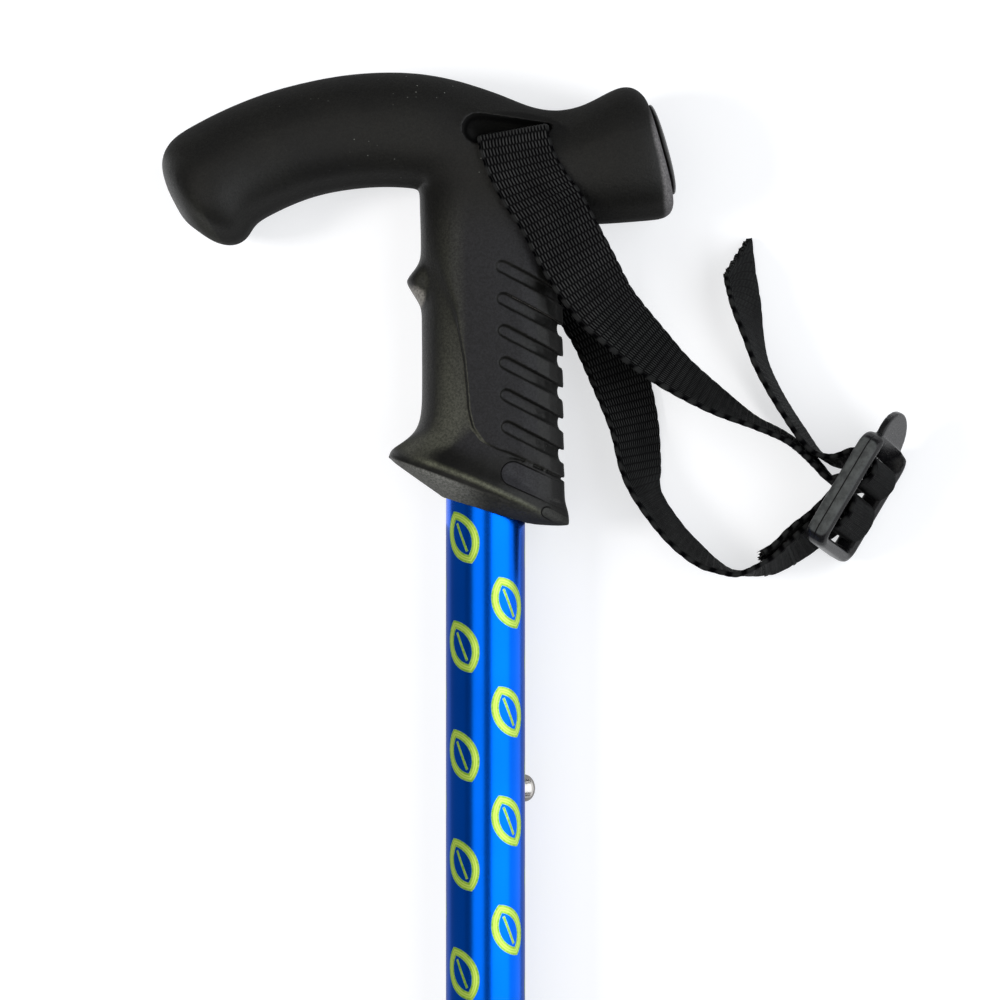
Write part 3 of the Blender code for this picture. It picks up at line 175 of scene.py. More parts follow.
class Term:
    """A number in a material, with arithmetic that adds its nodes."""

    def __init__(self, socket):
        self.socket = socket
        self.tree = socket.id_data

    def math(self, operation, *others):
        feeds = enumerate((self, *others))
        return Term(add(self.tree, "ShaderNodeMath", feeds, operation=operation).outputs[0])

    __add__ = partialmethod(math, "ADD")
    __sub__ = partialmethod(math, "SUBTRACT")
    __mul__ = partialmethod(math, "MULTIPLY")
    __truediv__ = partialmethod(math, "DIVIDE")
    __pow__ = partialmethod(math, "POWER")
    __abs__ = partialmethod(math, "ABSOLUTE")

    def __rsub__(self, other):
        return self * -1.0 + other

    def wave(self, period):
        """A cosine wave of a length along one direction."""
        return (self * (2 * math.pi / period)).math("COSINE")

    def ramp(self, low, high, to_low=0.0, to_high=1.0):
        """Maps low..high to to_low..to_high, eased between and held at both ends."""
        names = ("Value", "From Min", "From Max", "To Min", "To Max")
        feeds = zip(names, (self, low, high, to_low, to_high))
        node = add(self.tree, "ShaderNodeMapRange", feeds, interpolation_type="SMOOTHSTEP")
        return Term(node.outputs["Result"])

    def fade(self, low, high):
        """Falls from 1 to 0 over low..high."""
        return self.ramp(low, high, 1.0, 0.0)

    def mix(self, first, second):
        """The colour that is this share of the way between two others."""
        feeds = {0: self, 6: first, 7: second}
        return add(self.tree, "ShaderNodeMix", feeds, data_type="RGBA").outputs[2]

    def blend(self, first, second):
        """The number that is this share of the way between two others."""
        return Term(add(self.tree, "ShaderNodeMix", {0: self, 2: first, 3: second}).outputs[0])


def split(vector):
    """The three parts of a vector."""
    node = add(vector.id_data, "ShaderNodeSeparateXYZ", {0: vector})
    return [Term(part) for part in node.outputs]


class Finish:
    """A Principled material with the places, noise and relief that its nodes use."""

    def __init__(self, name, roughness, metallic=0.0, specular=0.5, mapping="Object"):
        self.material = bpy.data.materials.new(name)
        self.material.use_nodes = True
        self.tree = self.material.node_tree
        self.relief = None
        self.set("Roughness", roughness)
        self.set("Metallic", metallic)
        self.set("Specular IOR Level", specular)
        coordinates = add(self.tree, "ShaderNodeTexCoord")
        self.place = coordinates.outputs[mapping]
        self.facing = coordinates.outputs["Normal"]

    def set(self, name, value):
        feed(self.tree.nodes["Principled BSDF"].inputs[name], value)

    def noise(self, scale, detail=3.0, rough=0.5, stretch=(1.0, 1.0, 1.0)):
        mapped = add(self.tree, "ShaderNodeMapping", {"Vector": self.place, "Scale": stretch})
        names = ("Vector", "Scale", "Detail", "Roughness")
        feeds = zip(names, (mapped.outputs[0], scale, detail, rough))
        return Term(add(self.tree, "ShaderNodeTexNoise", feeds).outputs["Fac"])

    def specks(self, scale, size):
        """Sparse round specks: 1 in a speck and 0 elsewhere."""
        cells = add(self.tree, "ShaderNodeTexVoronoi", {"Vector": self.place, "Scale": scale})
        return Term(cells.outputs["Distance"]).fade(size * 0.5, size)

    def done(self, colour, rough):
        """The material, once it has its colour and roughness."""
        self.set("Base Color", colour)
        self.set("Roughness", rough)
        return self.material

    def bump(self, height, distance, strength=1.0):
        """Adds relief on top of the relief that is there."""
        feeds = {"Height": height, "Distance": distance, "Strength": strength}
        if self.relief:
            feeds["Normal"] = self.relief
        self.relief = add(self.tree, "ShaderNodeBump", feeds).outputs[0]
        self.set("Normal", self.relief)


BLACK = (0.0, 0.0, 0.0, 1.0)
RIDGE_START = (-0.0173, 0.0134)
RIDGE_SLOPE = -0.436
RIDGE_BOW = 2.8
RIDGE_END = 0.0147
RIDGE_HALF_WIDTH = 0.0014
PAD_END = (0.0076, 0.0097)
PAD_AIM = math.radians(-24.3)
PAD_RADIUS = 0.0033
TAB_END = (0.0169, -0.0009)
TAB_AIM = math.radians(-28.0)
TAB_RADIUS = 0.0015
INLAY_LINE = (0.00006, 0.00026)


def inlay(x, y, end, aim, radius):
    """A round-ended tongue let into the flange: where it is, and where its outline is."""
    aside = x - end[0]
    above = y - end[1]
    along = aside * math.cos(aim) + above * math.sin(aim)
    across = above * math.cos(aim) - aside * math.sin(aim)
    off = (along.math("MINIMUM", 0.0) ** 2.0 + across**2.0).math("SQRT") - radius
    return off.fade(-INLAY_LINE[1], 0.0), abs(off).fade(*INLAY_LINE)


def grip_inlays_and_painted_light(finish, colour, rough):
    """The handle's marks: painted sheen on the front and up-facing flats, a painted grey reflection
    on the foot, painted highlights on the ridge, nub and arm's end, two inlays and painted black
    shade in the slot.
    """
    x, y, _ = split(finish.place)
    y = y - HANDLE_Y
    side, along, up = split(finish.facing)
    left = side * -1.0
    upright = abs(up)
    below_bar = y.fade(0.070, 0.090)
    # Bluish grey where the grip's flats face straight up: partly the panel's own tone, partly
    # painted sheen
    level = upright.ramp(0.90, 0.985) * below_bar * y.ramp(0.011, 0.018)
    colour = level.mix(colour, srgb(25, 25, 28))
    # Painted sheen: a lighter olive where the grip's front faces left, stronger low down
    front = left.ramp(0.12, 0.26) * left.fade(0.42, 0.72) * below_bar
    front = front * y.ramp(0.015, 0.062, 0.80, 0.25) * y.ramp(0.010, 0.018)
    colour = (front * x.fade(-0.001, 0.002)).mix(colour, srgb(68, 69, 61))
    # Painted highlight: light grey on the nub's down-facing lower face
    nub = left.ramp(0.30, 0.55) * along.fade(-0.40, -0.15)
    nub = nub * y.ramp(0.050, 0.054) * y.fade(0.0600, 0.0625)
    colour = nub.mix(colour, srgb(112, 110, 106))
    # Painted reflection: light grey on the flange's down-facing bevel, fading to the right
    foot = along.fade(-0.45, -0.25) * y.fade(0.010, 0.016)
    colour = (foot * x.ramp(-0.012, 0.002, 0.9, 0.1)).mix(colour, srgb(104, 105, 102))
    # Painted highlight: light grey on the short arm's right-facing end
    end = x.ramp(0.0445, 0.0465) * side.ramp(0.25, 0.55)
    colour = (end * 0.8).mix(colour, srgb(118, 116, 117))
    from_start = x - RIDGE_START[0]
    to_end = RIDGE_END - x
    line = from_start * RIDGE_SLOPE + from_start * to_end * RIDGE_BOW
    ridge = abs(y - RIDGE_START[1] - line).fade(0.0, RIDGE_HALF_WIDTH)
    ridge = ridge * from_start.ramp(-0.004, 0.004) * to_end.ramp(-0.002, 0.002)
    # Painted highlight: a lighter olive line along the flange ridge, patchy with noise
    wear_and_painted_highlight = ridge * finish.noise(260.0, 2.0).ramp(0.3, 0.7, 0.5, 0.85)
    colour = wear_and_painted_highlight.mix(colour, srgb(92, 94, 80))
    pad, pad_line = inlay(x, y, PAD_END, PAD_AIM, PAD_RADIUS)
    tab, tab_line = inlay(x, y, TAB_END, TAB_AIM, TAB_RADIUS)
    colour = (pad * x.ramp(0.0100, 0.0190, 0.8, 0.1)).mix(colour, srgb(34, 34, 39))
    colour = (tab * 0.8).mix(colour, srgb(44, 45, 42))
    pad_line = pad_line * x.ramp(0.0120, 0.0175, 1.0, 0.3)
    lines = pad_line.math("MAXIMUM", tab_line * x.ramp(0.0165, 0.0190, 1.0, 0.1))
    colour = lines.mix(colour, BLACK)
    crown = along.ramp(0.10, 0.55) * y.ramp(0.085, 0.095)
    rough = lines.blend(rough + level * 0.06 + crown * 0.35, 1.0)
    dull = upright.fade(0.25, 0.80) * side.ramp(-0.80, -0.45)
    rough = dull.blend(rough, 0.95)
    # Painted shade: the slot's steep inner walls are black, and rough
    aside = (x - SLOT.x) / SLOT_REACH_X
    above = (y - (SLOT.y - MOUTH_DROP)) / SLOT_REACH_Y
    inside = (aside**2.0 + above**2.0).fade(1.0, 1.3)
    inside = inside * upright.fade(0.60, 0.92)
    return inside.mix(colour, BLACK), inside.blend(rough, 1.0), ridge * 1.2 - lines


def rubber(name, dark, light, roughness, specular=0.4, grip=False):
    """Matte moulded rubber: mottled and fine grained, with specks of dust."""
    finish = Finish(name, roughness, specular=specular)
    colour = finish.noise(60.0, 4.0).ramp(0.3, 0.7).mix(dark, light)
    grain = finish.noise(2600.0, 2.0)
    rough = grain.ramp(0.3, 0.7, roughness - 0.06, roughness + 0.08)
    if grip:
        # The grip adds painted sheen, highlights, a reflection and slot shade to its inlays
        colour, rough, relief = grip_inlays_and_painted_light(finish, colour, rough)
        finish.bump(relief, 0.00025, 0.9)
    mottle = finish.noise(1500.0, 3.0, 0.8).ramp(0.35, 0.65, 0.62, 1.4)
    feeds = {"Vector": colour, "Scale": mottle}
    colour = add(finish.tree, "ShaderNodeVectorMath", feeds, operation="SCALE").outputs[0]
    dust = finish.specks(420.0, 0.09) * finish.noise(28.0, 2.0).ramp(0.54, 0.64)
    finish.bump(finish.noise(900.0, 3.0, 0.7), 0.00012, 0.8)
    finish.bump(grain, 0.00004, 0.8)
    return finish.done(dust.mix(colour, srgb(120, 122, 118)), rough)


def plastic(name, dark, light, roughness):
    """Satin moulded plastic with faint flow marks and scuffs."""
    finish = Finish(name, roughness)
    flow = finish.noise(90.0, 3.0, 0.5, (1.0, 0.35, 1.0)).ramp(0.3, 0.7)
    scuff = finish.noise(700.0, 4.0, 0.7, (1.0, 0.15, 1.0))
    rough = scuff.ramp(0.35, 0.65, roughness - 0.06, roughness + 0.10)
    finish.bump(finish.noise(1800.0, 2.0), 0.00002, 0.6)
    return finish.done(flow.mix(dark, light), rough)


def bare_metal(name, colour, roughness, along=(1.0, 0.02, 1.0)):
    """Bare metal with fine scratches along one direction and slight stains."""
    finish = Finish(name, roughness, 1.0)
    lines = finish.noise(3500.0, 3.0, 0.6, along)
    finish.bump(lines, 0.00001, 0.5)
    stain = finish.noise(250.0, 3.0).ramp(0.35, 0.75)
    darker = (colour[0] * 0.7, colour[1] * 0.7, colour[2] * 0.72, 1.0)
    rough = lines.ramp(0.3, 0.7, roughness * 0.7, roughness * 1.5)
    return finish.done(stain.mix(colour, darker), rough)


BLUE = (0.001, 0.150, 0.95, 1.0)
BLUE_DEEP = (0.001, 0.130, 0.84, 1.0)
BLUE_WORN = (0.10, 0.28, 0.85, 1.0)
LIME = (0.24, 0.50, 0.03, 1.0)
LIME_PALE = (0.62, 0.84, 0.14, 1.0)


def anodised(finish):
    """Adds the fine drawn lines of anodised tube and returns its slightly uneven colour."""
    finish.bump(finish.noise(1500.0, 2.0, 0.5, (1.0, 0.006, 1.0)), 0.000004, 0.5)
    return finish.noise(35.0, 2.0).ramp(0.3, 0.7).mix(BLUE, BLUE_DEEP)


def plain_tube_finish():
    """Blue anodised tube, worn a little along its length."""
    finish = Finish("plain_tube_finish", 0.16, 1.0)
    scratches = finish.noise(900.0, 2.0, 0.6, (1.0, 0.01, 1.0))
    wear_and_painted_highlight = scratches.ramp(0.66, 0.72, 0.0, 0.4)
    colour = wear_and_painted_highlight.mix(anodised(finish), BLUE_WORN)
    return finish.done(colour, scratches.ramp(0.4, 0.7, 0.22, 0.30))


LEAF_COLUMNS = 5
LEAF_PITCH = 0.0300
LEAF_CLIMB = 0.4
LEAF_COLUMN_START = -0.25
LEAF_HALF_LENGTH = 0.0078
LEAF_HALF_WIDTH = 0.0050
LEAF_TILT = math.radians(24.0)
LEAF_STROKE = 0.0022
INK_EDGE = 0.00012
RIB_EDGE = (0.0003, 0.0005)
RIB_END = (0.0040, 0.0044)


def leaf_ink(across, up):
    """Where a leaf's outline and midrib are printed, and where that ink is pale."""
    bulge = (LEAF_HALF_LENGTH**2 - LEAF_HALF_WIDTH**2) / (2 * LEAF_HALF_WIDTH)
    far = abs(across) + bulge
    depth = bulge + LEAF_HALF_WIDTH - (far * far + up * up).math("SQRT")
    outline = depth.ramp(-INK_EDGE, INK_EDGE)
    outline = outline * depth.fade(LEAF_STROKE - INK_EDGE, LEAF_STROKE + INK_EDGE)
    rib = abs(across).fade(*RIB_EDGE) * abs(up).fade(*RIB_END)
    middle = abs(depth - LEAF_STROKE / 2)
    pale = middle.fade(0.0004, 0.0007) * middle.ramp(0.00006, 0.00016, 0.4, 1.0)
    return outline.math("MAXIMUM", rib), pale


def printed_tube_finish():
    """Blue anodised tube printed with columns of outlined leaves that climb round it."""
    finish = Finish("printed_tube_finish", 0.24)
    colour = anodised(finish)
    x, y, z = split(finish.place)
    column = z.math("ARCTAN2", x) * (LEAF_COLUMNS / (2 * math.pi)) + LEAF_COLUMN_START
    row = y / LEAF_PITCH + column.math("FLOOR") * LEAF_CLIMB
    column_width = 2 * math.pi * TUBE_RADIUS / LEAF_COLUMNS
    aside = (column.math("FRACT") - 0.5) * column_width
    along = (row.math("FRACT") - 0.5) * LEAF_PITCH
    joined = add(finish.tree, "ShaderNodeCombineXYZ", {0: aside, 1: along})
    feeds = {"Vector": joined.outputs[0], "Rotation": (0.0, 0.0, LEAF_TILT)}
    across, up, _ = split(add(finish.tree, "ShaderNodeMapping", feeds).outputs[0])
    inside, pale = leaf_ink(across, up)
    patchy = finish.noise(1100.0, 3.0, 0.7).ramp(0.35, 0.65, 0.0, 0.55)
    shade = pale.math("MAXIMUM", patchy).mix(LIME, LIME_PALE)
    finish.set("Metallic", inside.ramp(0.0, 1.0, 1.0, 0.65))
    return finish.done(inside.mix(colour, shade), inside.ramp(0.0, 1.0, 0.24, 0.34))


WARP_PITCH = 0.00045
FLOAT_PERIOD = 0.0043
SELVEDGE_WIDTH = 0.0006


def webbing_finish():
    """Black woven webbing: floats of warp yarn in staggered columns, with round selvedges."""
    finish = Finish("webbing_finish", 0.62, specular=0.03, mapping="UV")
    along, across, _ = split(finish.place)
    rise = along.wave(FLOAT_PERIOD)
    floats = (across.wave(2 * WARP_PITCH) * rise).ramp(-0.35, 0.75)
    yarn = floats * abs(rise).ramp(0.0, 0.45, 0.35, 1.0)
    border = STRAP_WIDTH / 2 - SELVEDGE_WIDTH
    edge = abs(across - STRAP_WIDTH / 2).ramp(border - 0.0001, border + 0.0001)
    bead = abs(along.wave(2 * FLOAT_PERIOD)).ramp(0.35, 0.95, 0.0, 0.50)
    yarn = edge.blend(yarn, bead)
    bright = yarn * finish.noise(120.0, 3.0).ramp(0.25, 0.75, 0.6, 1.0)
    fibres = finish.noise(9000.0, 2.0, 0.6, (0.12, 1.0, 1.0))
    finish.bump(yarn, 0.00010, 0.6)
    finish.bump(fibres, 0.00003, 0.5)
    # Painted shade: near black between the floats and between the selvedge beads; the noise gives
    # the yarn its uneven tone
    colour = bright.mix(srgb(1, 1, 2), srgb(57, 58, 58))
    return finish.done(colour, fibres.ramp(0.3, 0.7, 0.5, 0.74))


RAIL_REACH = 0.0154
RAIL_SIDE = 0.0132
SEAM_HALF_WIDTH = 0.00013


def buckle_finish():
    """Black acetal: satin, with a mould seam round its middle and scuffed grey outer rails."""
    finish = Finish("buckle_acetal", 0.30, specular=0.29)
    place = BUCKLE_CENTRE + HANDLE_FOOT
    feeds = {"Vector": finish.place, "Location": place, "Rotation": BUCKLE_TURN.to_euler()}
    local = add(finish.tree, "ShaderNodeMapping", feeds, vector_type="TEXTURE")
    run, across, deep = [abs(part) for part in split(local.outputs[0])]
    flow = finish.noise(260.0, 4.0, 0.6).ramp(0.3, 0.7)
    colour = flow.mix(srgb(14, 14, 16), srgb(22, 22, 24))
    scuff = across.ramp(RAIL_SIDE, RAIL_SIDE + 0.0004)
    scuff = scuff * run.fade(RAIL_REACH - 0.0008, RAIL_REACH)
    scuff = scuff * finish.noise(420.0, 4.0, 0.7).ramp(0.3, 0.7, 0.45, 1.0)
    colour = scuff.mix(colour, srgb(80, 83, 83))
    dust = finish.specks(900.0, 0.16) * finish.noise(60.0, 2.0).ramp(0.5, 0.6)
    colour = dust.mix(colour, srgb(120, 120, 118))
    seam = deep.fade(SEAM_HALF_WIDTH, SEAM_HALF_WIDTH * 1.8)
    seam = seam * across.ramp(RAIL_SIDE - 0.001, RAIL_SIDE)
    grain = finish.noise(2400.0, 2.0)
    rough = scuff.blend(grain.ramp(0.3, 0.7, 0.24, 0.38), 0.55)
    finish.bump(1.0 - seam, 0.00015)
    finish.bump(grain, 0.00002, 0.5)
    return finish.done(seam.mix(colour, srgb(8, 8, 8)), rough)


GRIP = rubber("handle_rubber", srgb(9, 9, 8), srgb(15, 15, 13), 0.48, 0.34, True)
CAP = rubber("cap_rubber", srgb(20, 20, 20), srgb(30, 30, 30), 0.44)
FOOT = rubber("ferrule_rubber", srgb(20, 20, 21), srgb(34, 34, 34), 0.68)
PRINTED = printed_tube_finish()
PLAIN = plain_tube_finish()
BUSH = plastic("bush_plastic", srgb(26, 26, 28), srgb(38, 38, 40), 0.42)
COLLAR_FINISH = plastic("collar_plastic", srgb(20, 20, 22), srgb(32, 32, 34), 0.36)
STEEL = bare_metal("button_steel", (0.62, 0.60, 0.57, 1.0), 0.18)
SPRING = bare_metal("spring_steel", (0.36, 0.37, 0.40, 1.0), 0.30, (0.02, 1.0, 0.02))
ZINC = bare_metal("washer_steel", (0.55, 0.56, 0.58, 1.0), 0.34, (1.0, 1.0, 0.1))
WEBBING = webbing_finish()
ACETAL = buckle_finish()


# Meshes

WELD = 0.000002


def link(name, data):
    """An object in the scene for its data."""
    made = bpy.data.objects.new(name, data)
    bpy.context.scene.collection.objects.link(made)
    return made


def new_object(name, mesh, finish):
    """An object in the scene for a mesh, in one material."""
    mesh.materials.clear()
    mesh.materials.append(finish)
    return link(name, mesh)


def dress(made, node, body, slot, *other):
    """Puts a piece in a CAD node's place on one body, or bakes its transform where other places are
    given, and hides the node.
    """
    if other:
        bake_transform(made)
    else:
        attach(made, body)
    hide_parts(node)


@contextmanager
def edited(mesh):
    """A mesh as a bmesh, which is written back when the block ends."""
    shape = bmesh.new()
    shape.from_mesh(mesh)
    yield shape
    shape.to_mesh(mesh)
    shape.free()


def node_copy(node, name, finish):
    """A new object with a welded copy of a CAD node's mesh."""
    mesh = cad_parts[node].data.copy()
    mesh.name = name
    with edited(mesh) as shape:
        bmesh.ops.remove_doubles(shape, verts=shape.verts, dist=WELD)
    return new_object(name, mesh, finish)


def settle(made, sharp_angle=None):
    """Replaces an object's mesh with its evaluated one, shades it smooth, drops its modifiers."""
    graph = bpy.context.evaluated_depsgraph_get()
    mesh = bpy.data.meshes.new_from_object(made.evaluated_get(graph))
    made.modifiers.clear()
    made.data = mesh
    mesh.shade_smooth()
    if sharp_angle is not None:
        mesh.set_sharp_from_angle(angle=math.radians(sharp_angle))
    return made


def skin(made, voxel):
    """Turns an object's mesh into an even quad skin."""
    step = made.modifiers.new("skin", "REMESH")
    step.mode = "VOXEL"
    step.voxel_size = voxel
    return settle(made)


def ease(values, low, high):
    """0 at low and below, 1 at high and above, eased between."""
    share = np.clip((values - low) / (high - low), 0, 1)
    return share * share * (3 - 2 * share)


def unit(vectors):
    """Each row scaled to length one."""
    return vectors / np.linalg.norm(vectors, axis=1)[:, None]


def read(items, name, width, kind=np.float32):
    """One attribute of a mesh's points, edges or corners, a row for each."""
    flat = np.zeros(len(items) * width, kind)
    items.foreach_get(name, flat)
    return flat.reshape(-1, width)


def points_of(mesh):
    return read(mesh.vertices, "co", 3).astype(float)


def links_of(mesh):
    """The two ends of each edge of a mesh."""
    return read(mesh.edges, "vertices", 2, np.int32)


def spread(values, ends, passes, step):
    """Moves each row towards the mean of its neighbours' rows, by its own step."""
    count = len(values)
    first, second = ends[:, 0], ends[:, 1]
    degree = np.bincount(first, minlength=count) + np.bincount(second, minlength=count)
    degree = np.maximum(degree, 1)[:, None]
    for _ in range(passes):
        total = np.zeros_like(values)
        for axis in range(3):
            total[:, axis] = np.bincount(first, values[second, axis], count)
            total[:, axis] += np.bincount(second, values[first, axis], count)
        values = values + (total / degree - values) * step
    return values


def place_points(mesh, points):
    """Puts a mesh's points at new places."""
    mesh.vertices.foreach_set("co", points.astype(np.float32).ravel())
    mesh.update()


def relax(made, passes, share=None):
    """Smooths an object's mesh, each point by its own share."""
    mesh = made.data
    points = points_of(mesh)
    ends = links_of(mesh)
    if share is None:
        share = np.ones(len(points))
    ends = ends[(share[ends[:, 0]] > 0) | (share[ends[:, 1]] > 0)]
    used, ends = np.unique(ends, return_inverse=True)
    step = 0.5 * share[used][:, None]
    points[used] = spread(points[used], ends.reshape(-1, 2), passes, step)
    place_points(mesh, points)


def plain_share(mesh, passes, low, high, rings):
    """1 where a mesh is plain, and 0 at its crisp edges and some rings of points round them."""
    normals = read(mesh.vertex_normals, "vector", 3).astype(float)
    ends = links_of(mesh)
    mean = unit(spread(normals, ends, passes, 0.5))
    turn = np.degrees(np.arccos(np.clip((normals * mean).sum(axis=1), -1, 1)))
    crisp = ease(turn, low, high)
    for _ in range(rings):
        top = np.maximum(crisp[ends[:, 0]], crisp[ends[:, 1]])
        np.maximum.at(crisp, ends[:, 0], top)
        np.maximum.at(crisp, ends[:, 1], top)
    return 1 - crisp


def fillet(profile, radius, steps=3):
    """A closed profile with each corner rounded by a small arc."""
    rounded = []
    count = len(profile)
    for i, corner in enumerate(profile):
        here = Vector(corner)
        before = Vector(profile[i - 1]) - here
        after = Vector(profile[(i + 1) % count]) - here
        reach = min(radius, before.length * 0.45, after.length * 0.45)
        start = here + before.normalized() * reach
        end = here + after.normalized() * reach
        for k in range(steps + 1):
            t = k / steps
            rounded.append(tuple(start * (1 - t) ** 2 + here * (2 * t * (1 - t)) + end * t**2))
    return rounded


def spin(name, profile, finish, y=0.0, shape=None, closed=True):
    """Turns a (radius, height) profile about the shaft's axis; shape may change each radius."""
    mesh = bpy.data.meshes.new(name)
    with edited(mesh) as made:
        rings = []
        for step in range(SPIN_STEPS):
            angle = 2 * math.pi * step / SPIN_STEPS
            ring = []
            for radius, height in profile:
                reach = shape(radius, height, angle) if shape else radius
                point = (reach * math.cos(angle), y + height, -reach * math.sin(angle))
                ring.append(made.verts.new(point))
            rings.append(ring)
        count = len(profile)
        for ring, other in zip(rings, rings[1:] + rings[:1]):
            for i in range(count if closed else count - 1):
                j = (i + 1) % count
                made.faces.new((ring[i], ring[j], other[j], other[i]))
        bmesh.ops.remove_doubles(made, verts=made.verts, dist=WELD)
        bmesh.ops.dissolve_degenerate(made, edges=made.edges, dist=WELD / 2)
        bmesh.ops.recalc_face_normals(made, faces=made.faces)
    mesh.shade_smooth()
    mesh.set_sharp_from_angle(angle=math.radians(50))
    return new_object(name, mesh, finish)


def cut(made, cutters):
    """Cuts one mesh away from a piece."""
    step = made.modifiers.new("cut", "BOOLEAN")
    step.operation = "DIFFERENCE"
    step.solver = "EXACT"
    step.object = cutters
    settle(made, 35)
    bpy.data.objects.remove(cutters)


def hole_cutters(places):
    """Cylinders across one wall of a tube, on the row of holes."""
    mesh = bpy.data.meshes.new("holes")
    aim = Matrix.Rotation(-HOLE_ROW_TURN, 4, "Y") @ Matrix.Translation((TUBE_RADIUS, 0.0, 0.0))
    aim = aim @ Matrix.Rotation(math.pi / 2, 4, "Y")
    size = {"radius1": HOLE_RADIUS, "radius2": HOLE_RADIUS, "depth": TUBE_RADIUS}
    with edited(mesh) as made:
        for y in places:
            place = Matrix.Translation((0.0, y, 0.0)) @ aim
            bmesh.ops.create_cone(made, cap_ends=True, segments=64, matrix=place, **size)
    return new_object("holes", mesh, PLAIN)


# Handle

MOUTH_REACH = (0.013, 0.025)
MOUTH_DEPTH = (0.003, 0.011)
MOUTH_TOP_X = -0.0089
MOUTH_TOP = 0.0059
MOUTH_TOP_FALL = 0.115
MOUTH_LIP = (0.0002, 0.0016)
CREASE_CENTRE = (-0.0085, 0.0840)
CREASE_REACH = (0.011, 0.017)
NUB_CENTRE = (-0.0130, 0.0615)
NUB_REACH = (0.0060, 0.0125)
PAD_CENTRE = (0.0090, 0.0100)
PAD_REACH = (0.0140, 0.0080)
SEAM_START = Vector((0.0050, 0.0152))
SEAM_END = Vector((0.0215, 0.0087))
SEAM_HALF_LENGTH = 0.0008
SEAM_SECTION = (0.0208, 0.0130, 2.9)
SEAM_STEPS = 16


def lower_mouths(points):
    """Moves the handle's slot down the handle, to where the photograph shows its mouth."""
    x = points[:, 0] - SLOT.x
    y = points[:, 1] - HANDLE_Y - SLOT.y
    above = y - (MOUTH_TOP - MOUTH_TOP_FALL * (x - MOUTH_TOP_X))
    lip = ease(above, *MOUTH_LIP)
    deep = ease(np.abs(points[:, 2]), *MOUTH_DEPTH)
    near = 1 - ease(np.hypot(x, y), *MOUTH_REACH)
    moved = points.copy()
    moved[:, 1] -= MOUTH_DROP * near * (1 - lip * (1 - deep))
    return moved


def patch(points, centre, reach, depths=None):
    """1 round a place on the handle and 0 away from it, above a depth if one is given."""
    aside = np.abs(points[:, 0] - centre[0]) / reach[0]
    above = np.abs(points[:, 1] - HANDLE_Y - centre[1]) / reach[1]
    near = 1 - ease(np.maximum(aside, above), 0.6, 1.0)
    return near if depths is None else near * ease(np.abs(points[:, 2]), *depths)


def fill_seam(mesh):
    """Fills the narrow seam under the last land of the panels, all but its top."""
    half_width, half_depth, power = SEAM_SECTION
    slope = (SEAM_END.y - SEAM_START.y) / (SEAM_END.x - SEAM_START.x)
    start = math.acos((SEAM_START.x / half_width) ** (power / 2))
    with edited(mesh) as shape:
        rings = []
        for side in (1, -1):
            ring = []
            for i in range(2 * SEAM_STEPS + 1):
                angle = start * (i / SEAM_STEPS - 1)
                x = half_width * math.cos(angle) ** (2 / power)
                z = math.copysign(half_depth * abs(math.sin(angle)) ** (2 / power), angle)
                y = SEAM_START.y + slope * (x - SEAM_START.x) + side * SEAM_HALF_LENGTH
                ring.append(shape.verts.new((x, y + HANDLE_Y, z)))
            rings.append(ring)
        upper, lower = rings
        for i in range(len(upper)):
            j = (i + 1) % len(upper)
            shape.faces.new((upper[i], upper[j], lower[j], lower[i]))
        shape.faces.new(upper[::-1])
        shape.faces.new(lower)


def make_handle():
    """The moulded handle as one smooth skin with its panels, grooves, nub, flange and slot."""
    handle = node_copy("handle_body", "handle_skin", GRIP)
    fill_seam(handle.data)
    mesh = skin(handle, 0.00032).data
    place_points(mesh, lower_mouths(points_of(mesh)))
    relax(handle, 4)
    points = points_of(mesh)
    crease = patch(points, CREASE_CENTRE, CREASE_REACH, (0.007, 0.010))
    nub = patch(points, NUB_CENTRE, NUB_REACH)
    plain = plain_share(mesh, 24, 8.5, 14.0, 2)
    plain *= 1 - 0.92 * patch(points, PAD_CENTRE, PAD_REACH, (0.006, 0.009))
    relax(handle, 90, np.maximum(plain, np.maximum(crease, nub)))
    relax(handle, 200, crease)
    dress(handle, "handle_body", UPPER, "handle_grip")


def make_end_cap():
    """The domed cap on the short arm's end."""
    cap = skin(node_copy("handle_end_cap", "end_cap_skin", CAP), 0.0003)
    relax(cap, 14)
    dress(cap, "handle_end_cap", UPPER, "handle_cap")


# Tubes and their fittings


def tube_profile(outer, inner, foot, top):
    """A tube's wall in section, with its edges broken."""
    return fillet([(outer, top), (outer, foot), (inner, foot), (inner, top)], 0.00025)


def make_upper_tube():
    """The printed tube with its row of adjustment holes."""
    profile = tube_profile(TUBE_RADIUS, BORE, TUBE_FOOT_Y, TUBE_TOP_Y)
    tube = spin("printed_tube", profile, PRINTED)
    cut(tube, hole_cutters([BUTTON_Y - HOLE_PITCH * i for i in range(HOLE_COUNT)]))
    dress(tube, "upper_tube", UPPER, "printed_tube")


def make_lower_tube():
    """The plain sliding tube with its one button hole."""
    profile = tube_profile(LOWER_RADIUS, LOWER_BORE, LOWER_FOOT_Y, LOWER_TOP_Y)
    tube = spin("plain_tube", profile, PLAIN)
    cut(tube, hole_cutters([BUTTON_Y]))
    dress(tube, "lower_tube", LOWER, "plain_tube")


def make_guide_bush():
    """The bush in the lower tube's top."""
    rim = BORE - 0.00015
    spigot = LOWER_BORE - SEAT_GAP
    bore = spigot - 0.0016
    profile = [
        (rim - 0.0012, 0.005),
        (rim, 0.0038),
        (rim, SEAT_GAP),
        (spigot, SEAT_GAP),
        (spigot, -0.012),
        (bore, -0.012),
        (bore, 0.005),
    ]
    bush = spin("guide_bush_turned", fillet(profile, 0.0003), BUSH, LOWER_TOP_Y)
    dress(bush, "guide_bush", LOWER, "bush_plastic")


